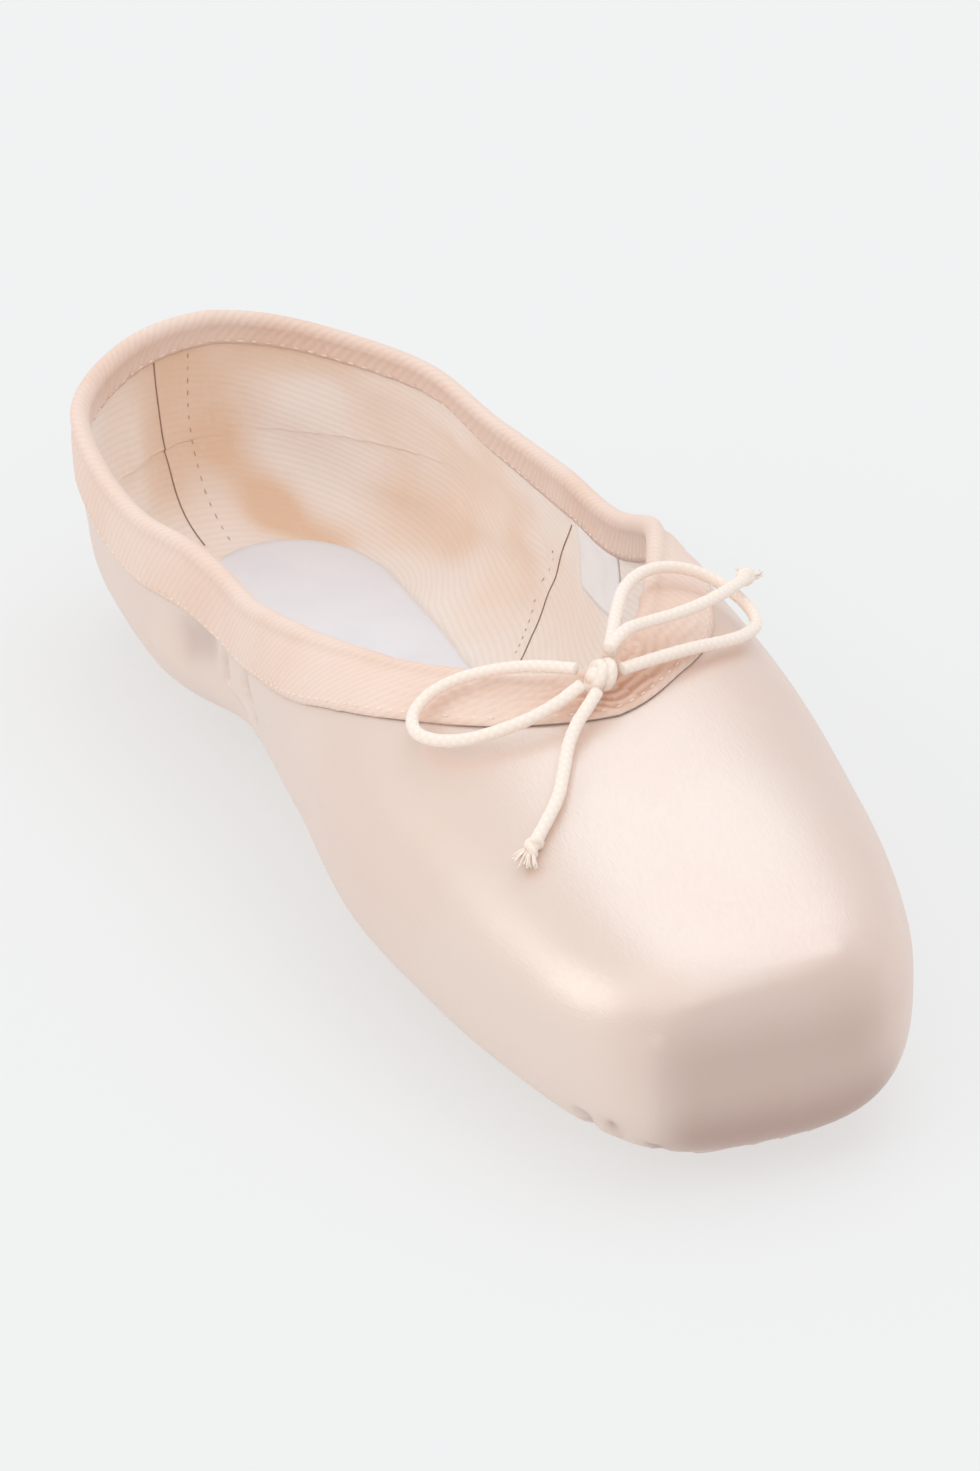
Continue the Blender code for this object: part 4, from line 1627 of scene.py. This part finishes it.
LINING_SEAMS = (
    LiningSeam(
        "heel_seam",
        ((-16.4, 115.0, 43.0), (-15.8, 116.0, 34.0), (-15.2, 116.3, 27.0), (-13.9, 116.3, 21.2),
         (-12.0, 112.6, 12.1), (-10.5, 109.0, 8.6)),
        ((-9.6, 117.3, 42.5), (-9.5, 118.0, 29.7), (-8.0, 117.0, 20.0), (-6.5, 113.9, 12.0),
         (-5.5, 110.0, 8.8)),
    ),
    LiningSeam(
        "waist_seam",
        ((34.5, 44.1, 32.6), (36.1, 53.5, 21.8), (35.2, 56.7, 14.1), (30.1, 50.9, 10.0),
         (24.5, 43.0, 8.8)),
        ((35.7, 48.3, 32.0), (36.6, 57.5, 21.8), (35.4, 60.7, 13.2), (30.6, 54.9, 9.6),
         (25.2, 47.5, 8.6)),
    ),
)


@dataclass
class LeatherSole:
    """The small leather outsole, skived thin at its edge."""

    last: Last
    rows: int = 96
    edge_rise: float = 0.0013
    edge_start: float = 0.70

    def build(self, leather: bpy.types.Material) -> bpy.types.Object:
        """Makes the outsole.

        Args:
            leather: Its finish.

        Returns:
            The outsole.
        """
        last = self.last
        start = last.sole_heel_gap
        end = last.length - last.sole_toe_gap
        shares = 0.5 - 0.5 * np.cos(np.pi * np.linspace(0.012, 0.988, self.rows))
        across = np.sin(np.linspace(-0.5, 0.5, 25) * math.pi)
        along = (start + (end - start) * shares)[:, None]
        side = across[None, :] * last.sole_half_width(along)
        top = last.underside(side, along) - last.clearance * 1.15
        middle = last.underside(0.0 * along, along) - last.clearance - last.sole_thickness
        rise = self.edge_rise * smoothstep(self.edge_start, 1.0, np.abs(across))[None, :]
        groove = 0.00035 * np.exp(-(((np.abs(across) - 0.80) / 0.03) ** 2))[None, :]
        bottom = np.maximum(middle, 0.0) + rise + groove
        along = np.broadcast_to(along, side.shape)
        rings = np.concatenate(
            [np.stack([side, along, top], axis=-1), np.stack([side, along, bottom], axis=-1)[:, ::-1]], axis=1
        )
        rings[..., 1] = last.length / 2 - rings[..., 1]
        run = lengths(rings[:, rings.shape[1] // 4])
        sole = capped_mesh("leather_sole", rings, run, np.linspace(0.0, 0.1, rings.shape[1] + 1))
        sole.data.materials.append(leather)
        return sole


@dataclass
class SockLiner:
    """The insole board with its smooth white liner."""

    last: Last
    thickness: float = 0.0022
    lap: float = 0.0045
    gap: float = 0.0007
    rays: tuple[int, int, int] = (26, 50, 34)

    def build(self, sock: bpy.types.Material) -> bpy.types.Object:
        """Makes the insole.

        Args:
            sock: Its finish.

        Returns:
            The insole.
        """
        last = self.last
        heel, side, toe = self.rays
        reach = last.toe_centre - last.heel_centre
        rays = [(last.heel_centre, 90.0 * i / heel) for i in range(heel)]
        rays += [(last.heel_centre + reach * i / side, 90.0) for i in range(side)]
        rays += [(last.toe_centre, 90.0 + 90.0 * i / toe) for i in range(toe + 1)]
        start = np.array([ray[0] for ray in rays])
        turn = np.radians([ray[1] for ray in rays])
        plan = last.sole_reach(start, turn, last.sole_lap - self.lap)
        shares = np.array([0.0, 0.2, 0.4, 0.6, 0.8, 0.93, 0.985, 1.0])
        bottom = np.stack([last.cast(start, turn, last.low_rise(start, turn, s * plan)) for s in shares], 1)
        normal = last.outward(bottom)
        thick = last.wall(bottom[..., 1])[..., None]
        soft = np.array([1.0, 1.0, 1.0, 1.0, 1.0, 0.97, 0.80, 0.45])[None, :, None]
        low = bottom - normal * (thick + self.gap)
        high = bottom - normal * (thick + self.gap + self.thickness * soft)
        half = np.concatenate([low, high[:, ::-1]], axis=1)
        other = half[-2:0:-1].copy()
        other[..., 0] *= -1
        points = last.world(np.concatenate([half, other]))
        count, size = points.shape[:2]
        i, k = np.meshgrid(np.arange(count), np.arange(size - 1), indexing="ij")
        j = (i + 1) % count
        here, there = i * size + k, j * size + k
        faces = np.stack([here, here + 1, there + 1, there], axis=-1).reshape(-1, 4)
        liner = add_mesh("sock_liner", points.reshape(-1, 3), faces)
        self.weld(liner)
        liner.data.materials.append(sock)
        return liner

    def weld(self, piece: bpy.types.Object) -> None:
        """Joins the points that meet along the middle, so the piece is closed.

        Args:
            piece: The piece.
        """
        modifier = piece.modifiers.new("Weld", "WELD")
        modifier.merge_threshold = 1e-6
        graph = bpy.context.evaluated_depsgraph_get()
        piece.data = bpy.data.meshes.new_from_object(piece.evaluated_get(graph))
        piece.modifiers.clear()
        piece.data.name = piece.name


@dataclass(frozen=True)
class CordRun:
    """One stretch of the drawstring outside its casing, and the solid that it stands for."""

    name: str
    node: str
    frayed: bool
    marks: tuple[tuple[float, float, float], ...]


KNOT_PLACE = (-0.0025, -0.0570, 0.0570)
DRAWSTRING = (
    CordRun("near_loop", "bow_loop_near", False, (
        (-0.0060, -0.0558, 0.0583), (-0.0095, -0.0528, 0.0580), (-0.0130, -0.0500, 0.0574),
        (-0.0175, -0.0474, 0.0563), (-0.0225, -0.0458, 0.0549), (-0.0272, -0.0460, 0.0532),
        (-0.0306, -0.0482, 0.0513), (-0.0314, -0.0516, 0.0503), (-0.0296, -0.0552, 0.0502),
        (-0.0258, -0.0582, 0.0509), (-0.0210, -0.0600, 0.0523), (-0.0160, -0.0606, 0.0537),
        (-0.0112, -0.0600, 0.0551), (-0.0063, -0.0584, 0.0567),
    )),
    CordRun("far_loop", "bow_loop_far", False, (
        (0.0000, -0.0543, 0.0588), (0.0034, -0.0480, 0.0594), (0.0066, -0.0420, 0.0599),
        (0.0102, -0.0364, 0.0605), (0.0146, -0.0324, 0.0606), (0.0196, -0.0304, 0.0600),
        (0.0250, -0.0304, 0.0583), (0.0292, -0.0326, 0.0559), (0.0316, -0.0366, 0.0537),
        (0.0312, -0.0412, 0.0527), (0.0278, -0.0450, 0.0531), (0.0230, -0.0480, 0.0541),
        (0.0168, -0.0508, 0.0555), (0.0108, -0.0532, 0.0564), (0.0052, -0.0552, 0.0569),
        (0.0011, -0.0565, 0.0571),
    )),
    CordRun("far_end", "bow_end_far", True, (
        (-0.0008, -0.0558, 0.0607), (0.0038, -0.0524, 0.0617), (0.0088, -0.0498, 0.0610),
        (0.0142, -0.0474, 0.0602), (0.0198, -0.0448, 0.0597), (0.0252, -0.0414, 0.0592),
        (0.0296, -0.0376, 0.0585), (0.0328, -0.0338, 0.0574),
    )),
    CordRun("near_end", "bow_end_near", True, (
        (-0.0042, -0.0598, 0.0558), (-0.0066, -0.0618, 0.0546), (-0.0094, -0.0641, 0.0532),
        (-0.0122, -0.0674, 0.0515), (-0.0148, -0.0718, 0.0498), (-0.0176, -0.0762, 0.0478),
        (-0.0212, -0.0798, 0.0457), (-0.0248, -0.0828, 0.0434),
    )),
)


@dataclass
class Bow:
    """The drawstring's knot, loops and ends at the throat."""

    diameter: float = 0.0021
    around: int = 14
    spacing: float = 0.0005
    knot_ring: float = 0.0017
    knot_cord: float = 0.00095
    core_length: float = 0.0052
    core_radius: float = 0.0018
    tip_ring: float = 0.00085
    tip_cord: float = 0.00062
    threads: int = 26
    shortest_thread: float = 0.0026
    longest_thread: float = 0.0038

    def build_run(self, run: CordRun, cord: bpy.types.Material) -> tuple[bpy.types.Object, np.ndarray]:
        """Makes one stretch of cord.

        Args:
            run: The stretch.
            cord: Its finish.

        Returns:
            The stretch and the points that it follows.
        """
        path = smooth_route(np.array(run.marks), self.spacing)
        away = np.linspace(0.0, lengths(path)[-1], len(path))
        radius = self.diameter / 2 * (1 + 0.02 * np.sin(away * 2100.0))
        piece = tube(run.name, path, radius, self.around, 0.94)
        piece.data.materials.append(cord)
        return piece, path

    def build_tip(self, run: CordRun, path: np.ndarray, cord: bpy.types.Material) -> bpy.types.Object:
        """Makes the small knot and the frayed threads at a cord's end.

        Args:
            run: The stretch that ends here.
            path: The points that it follows.
            cord: Its finish.

        Returns:
            The tip.
        """
        end = path[-1]
        ahead = unit(path[-1] - path[-4])
        first, second = side_vectors(path)
        wide, tall = first[-1], second[-1]
        parts = []
        turn = np.linspace(0.0, 2 * math.pi, 22)[:-1]
        for tilt, back in ((0.45, -0.0012), (-0.45, 0.0000)):
            ring = end + ahead * back + (
                np.cos(turn)[:, None] * wide + np.sin(turn)[:, None] * tall
            ) * self.tip_ring + ahead * (tilt * 0.0012 * np.cos(turn))[:, None]
            parts.append(closed_tube(run.name + "_wrap", ring, self.tip_cord, 8))
        rng = np.random.default_rng(7)
        for number in range(self.threads):
            spread = 0.62 * (2 * number / (self.threads - 1) - 1.0)
            lean = np.array([spread + rng.normal(0.0, 0.08), rng.normal(0.0, 0.22)])
            reach = rng.uniform(self.shortest_thread, self.longest_thread)
            towards = unit(ahead + wide * lean[0] + tall * lean[1] * 0.5)
            root = end + wide * lean[0] * 0.0010 + tall * rng.uniform(-0.0004, 0.0004)
            strand = root + towards * np.linspace(0.0, reach, 5)[:, None]
            strand += wide * (0.00015 * np.sin(np.linspace(0.0, 4.0, 5)))[:, None]
            parts.append(tube(run.name + "_thread", strand, np.linspace(0.00022, 0.00012, 5), 6))
        tip = joined(run.name + "_tip", parts)
        tip.data.materials.clear()
        tip.data.materials.append(cord)
        return tip

    def build_knot(self, cord: bpy.types.Material) -> bpy.types.Object:
        """Makes the knot: a core, with the cord wrapped over it from front to back.

        Args:
            cord: Its finish.

        Returns:
            The knot.
        """
        centre = np.array(KNOT_PLACE)
        parts = []
        share = np.linspace(-0.94, 0.94, 9)
        core = centre + np.outer(self.core_length / 2 * share, (1.0, 0.0, 0.0))
        parts.append(tube("knot_core", core, self.core_radius * np.sqrt(1 - share ** 2), 16, 0.95))
        turn = np.linspace(0.0, 2 * math.pi, 33)[:-1]
        for shift, slope in ((-0.0007, 0.0009), (0.0010, 0.0006)):
            across = shift + slope * np.sin(turn)
            front, over = self.knot_ring * np.cos(turn), self.knot_ring * np.sin(turn)
            ring = centre + np.stack([across, front, over], axis=-1)
            parts.append(closed_tube("knot_wrap", ring, self.knot_cord, 10))
        knot = joined("bow_wrap", parts)
        knot.data.materials.clear()
        knot.data.materials.append(cord)
        return knot


def closed_tube(name: str, ring: np.ndarray, radius: float, around: int) -> bpy.types.Object:
    """A round tube along a closed ring.

    Args:
        name: The piece's name.
        ring: The ring's points, without the first again at the end.
        radius: The tube's radius.
        around: Points round it.

    Returns:
        The tube.
    """
    ahead = unit(np.roll(ring, -1, axis=0) - np.roll(ring, 1, axis=0))
    middle = ring.mean(axis=0)
    out = ring - middle
    out = unit(out - ahead * (out * ahead).sum(axis=1)[:, None])
    over = np.cross(ahead, out)
    turn = np.arange(around) * 2 * math.pi / around
    sections = ring[:, None, :] + radius * (
        np.cos(turn)[None, :, None] * out[:, None, :] + np.sin(turn)[None, :, None] * over[:, None, :]
    )
    steps = np.linalg.norm(np.roll(ring, -1, axis=0) - ring, axis=1)
    run = np.concatenate([[0.0], np.cumsum(steps)])
    drop = np.repeat((turn * radius)[None, :], len(ring), 0)
    return ring_mesh(name, sections, run, drop)


@dataclass
class SewnLabel:
    """The small blank cloth label on the far side of the lining."""

    last: Last
    start: float = 0.080
    end: float = 0.100
    top: float = 0.0040
    bottom: float = 0.0190
    gap: float = 0.0001
    thickness: float = 0.00015

    def build(self, tape: bpy.types.Material) -> bpy.types.Object:
        """Makes the label.

        Args:
            tape: Its finish.

        Returns:
            The label.
        """
        rays = [(along, 90.0) for along in np.linspace(self.start, self.end, 22)]
        lines = self.last.lines(rays, "far")
        drops = np.linspace(self.top, self.bottom, 16)
        face = []
        back = []
        for line in lines:
            place = along_line(line, drops)
            away = self.last.outward(place)
            thick = self.last.wall(place[:, 1])[:, None]
            back.append(place - away * (thick + self.gap))
            face.append(place - away * (thick + self.gap + self.thickness))
        rings = np.concatenate([np.array(face), np.array(back)[:, ::-1]], axis=1)
        rings = self.last.world(rings)
        run = lengths(rings[:, 0])
        round_way = np.linspace(0.0, 2 * (self.bottom - self.top), rings.shape[1] + 1)
        label = capped_mesh("blank_label", rings, run, round_way)
        label.data.materials.append(tape)
        return label


class Framing(Enum):
    """Where the camera looks: at the photograph's own frame, or close round the one shoe."""

    PHOTO = (490.0, 735.5, 1.0)
    SHOE = (337.0, 762.0, 1.45)


@dataclass
class Studio:
    """The pale floor, the soft lights and the camera at the photograph's angle."""

    framing: Framing
    aim: tuple[float, float, float] = (0.0, 0.0, 0.025)
    distance: float = 1.0665
    pitch: float = 26.61
    heading: float = 23.81
    roll: float = 0.42
    focal: float = 4431.7
    aim_pixel: tuple[float, float] = (331.2, 740.85)
    frame_size: tuple[float, float] = (980.0, 1471.0)
    sensor: float = 36.0
    floor_size: float = 60.0
    room_light: float = 0.72

    def build_camera(self) -> None:
        """Puts the camera where the photograph was taken from."""
        heading, pitch, roll = (math.radians(v) for v in (self.heading, self.pitch, self.roll))
        forward = Vector((
            math.sin(heading) * math.cos(pitch), math.cos(heading) * math.cos(pitch), -math.sin(pitch)
        ))
        right = Vector((math.cos(heading), -math.sin(heading), 0.0))
        up = right.cross(forward)
        right, up = (
            right * math.cos(roll) + up * math.sin(roll),
            up * math.cos(roll) - right * math.sin(roll),
        )
        wide, tall = self.frame_size
        across = (self.aim_pixel[0] - wide / 2) / self.focal
        down = (self.aim_pixel[1] - tall / 2) / self.focal
        ray = forward + right * across - up * down
        place = Vector(self.aim) - ray * (self.distance / ray.length)
        middle_x, middle_y, zoom = self.framing.value
        look_across = (middle_x - wide / 2) / self.focal
        look_down = (middle_y - tall / 2) / self.focal
        look = forward + right * look_across - up * look_down
        look.normalize()
        side = look.cross(up).normalized()
        over = side.cross(look)
        data = bpy.data.cameras.new("camera")
        data.sensor_fit = "VERTICAL"
        data.sensor_height = self.sensor
        data.sensor_width = self.sensor * wide / tall
        data.lens = self.focal * zoom * self.sensor / tall
        data.clip_start = 0.01
        data.clip_end = 200.0
        camera = bpy.data.objects.new("camera", data)
        basis = Matrix((side, over, -look)).transposed()
        camera.matrix_world = Matrix.Translation(place) @ basis.to_4x4()
        bpy.context.scene.collection.objects.link(camera)
        bpy.context.scene.camera = camera

    def build_floor(self, paint: bpy.types.Material) -> None:
        """Lays the pale floor.

        Args:
            paint: Its finish.
        """
        bpy.ops.mesh.primitive_plane_add(size=self.floor_size, location=(0.0, 0.0, -0.0002))
        floor = bpy.context.active_object
        floor.name = "floor"
        floor.data.materials.append(paint)

    def add_sun(
        self,
        name: str,
        towards: tuple[float, float, float],
        spread: float,
        strength: float,
        colour: tuple[float, float, float] = (1.0, 1.0, 1.0),
    ) -> None:
        """Shines a wide even light, as a large softbox far away gives.

        Args:
            name: The light's name.
            towards: The direction from the shoe to the light.
            spread: How wide the light looks from the shoe, in degrees.
            strength: How bright it is.
            colour: Its colour.
        """
        data = bpy.data.lights.new(name, "SUN")
        data.angle = math.radians(spread)
        data.energy = strength
        data.color = colour
        lamp = bpy.data.objects.new(name, data)
        lamp.rotation_euler = (-Vector(towards)).to_track_quat("-Z", "Y").to_euler()
        bpy.context.scene.collection.objects.link(lamp)

    def build_lights(self) -> None:
        """Fills the room with pale light and shines the soft lights."""
        world = bpy.data.worlds.new("room")
        world.use_nodes = True
        sky = world.node_tree.nodes["Background"]
        sky.inputs["Color"].default_value = (1.0, 1.0, 1.0, 1.0)
        sky.inputs["Strength"].default_value = self.room_light
        bpy.context.scene.world = world
        self.add_sun("left_softbox", (-0.88, 0.05, 0.47), 40.0, 0.50, (1.0, 0.99, 0.96))
        self.add_sun("top_softbox", (0.34, 0.28, 0.90), 50.0, 0.64, (0.78, 0.91, 1.0))
        self.add_sun("front_softbox", (-0.15, -0.50, 0.85), 70.0, 0.50)
        bpy.context.scene.view_settings.view_transform = "Standard"


def settle(piece: bpy.types.Object, slot: str, *nodes: str) -> bpy.types.Object:
    """Makes a finished piece part of the shoe.

    Args:
        piece: The piece.
        slot: Not used.
        nodes: The solids that it stands for.

    Returns:
        The piece.
    """
    if nodes:
        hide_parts(*nodes)
    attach(piece, BODY)
    LOG.info("%s: %d faces", piece.name, len(piece.data.polygons))
    return piece


def build_bow(cord: bpy.types.Material) -> None:
    """Ties the drawstring.

    Args:
        cord: Its finish.
    """
    bow = Bow()
    knot = settle(bow.build_knot(cord), "cord", "bow_knot")
    for number, run in enumerate(DRAWSTRING):
        piece, path = bow.build_run(run, cord)
        settle(piece, "cord", run.node)
        with_pieces = [knot] if number == 0 else []
        if run.frayed:
            with_pieces.append(settle(bow.build_tip(run, path, cord), "cord"))


def main() -> None:
    """Builds the shoe and its studio."""
    logging.basicConfig(level=logging.INFO, format="%(name)s: %(message)s")
    studio = Studio(Framing.SHOE)
    studio.build_camera()
    cord = CordFinish().build()
    build_bow(cord)
    satin = SatinFinish().build()
    # The third colour of each twill is its painted shade.
    binding_twill = TwillFinish(
        "binding_twill", (241, 217, 203), (238, 208, 191), (208, 156, 126), 0.0007, 40.0
    ).build()
    cotton = TwillFinish(
        "lining_cotton", (252, 242, 235), (251, 233, 219), (240, 206, 178), 0.0007, 78.0, 0.00004
    ).build()
    leather = PlainFinish("leather", (206, 182, 158), (188, 160, 134), 0.7, 900.0, 0.00015).build()
    sock = PlainFinish("sock", (237, 236, 240), (234, 233, 238), 0.6, 1200.0, 0.00005).build()
    tape = PlainFinish("label_tape", (250, 249, 250), (246, 243, 244), 0.6, 2000.0, 0.00005).build()
    thread = PlainFinish("thread", (250, 236, 222), (240, 220, 200), 0.6, 2000.0, 0.00002).build()
    seam_thread = PlainFinish("seam_thread", (172, 138, 118), (150, 118, 100), 0.7, 2000.0, 0.00002).build()
    stitch_thread = PlainFinish(
        "stitch_thread", (222, 186, 160), (206, 168, 140), 0.7, 2000.0, 0.00002
    ).build()
    grey = FloorFinish().build()
    last = Last()
    upper = SatinUpper(last)
    settle(upper.build_cover(satin), "satin", "upper")
    lining = settle(upper.build_lining(cotton), "twill")
    bpy.context.view_layer.update()
    small_stitches = StitchRow(0.0024, 0.0011, 0.00026, 9)
    for seam in LINING_SEAMS:
        settle(seam.build(lining, seam_thread), "twill")
        path, lie = seam.stitches(lining)
        settle(small_stitches.build(seam.name + "_stitches", path, lie, False, stitch_thread), "twill")
    collar = CollarBinding(last)
    settle(collar.build(binding_twill), "twill", "collar_binding")
    settle(LeatherSole(last).build(leather), "leather", "outsole")
    settle(SockLiner(last).build(sock), "sock", "insole")
    label = settle(SewnLabel(last).build(tape), "twill")
    stitches = StitchRow(0.0026, 0.0014, 0.00032)
    rows = (
        ("binding_stitches_outside", False, collar.stitch_drop),
        ("binding_stitches_inside", True, collar.inner_stitch_drop),
    )
    for name, inside, drop in rows:
        path, ahead = collar.edge_path(drop, inside)
        settle(stitches.build(name, path, ahead, True, thread), "twill")
    studio.build_floor(grey)
    studio.build_lights()
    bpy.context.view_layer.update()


if __name__ == "__main__":
    main()
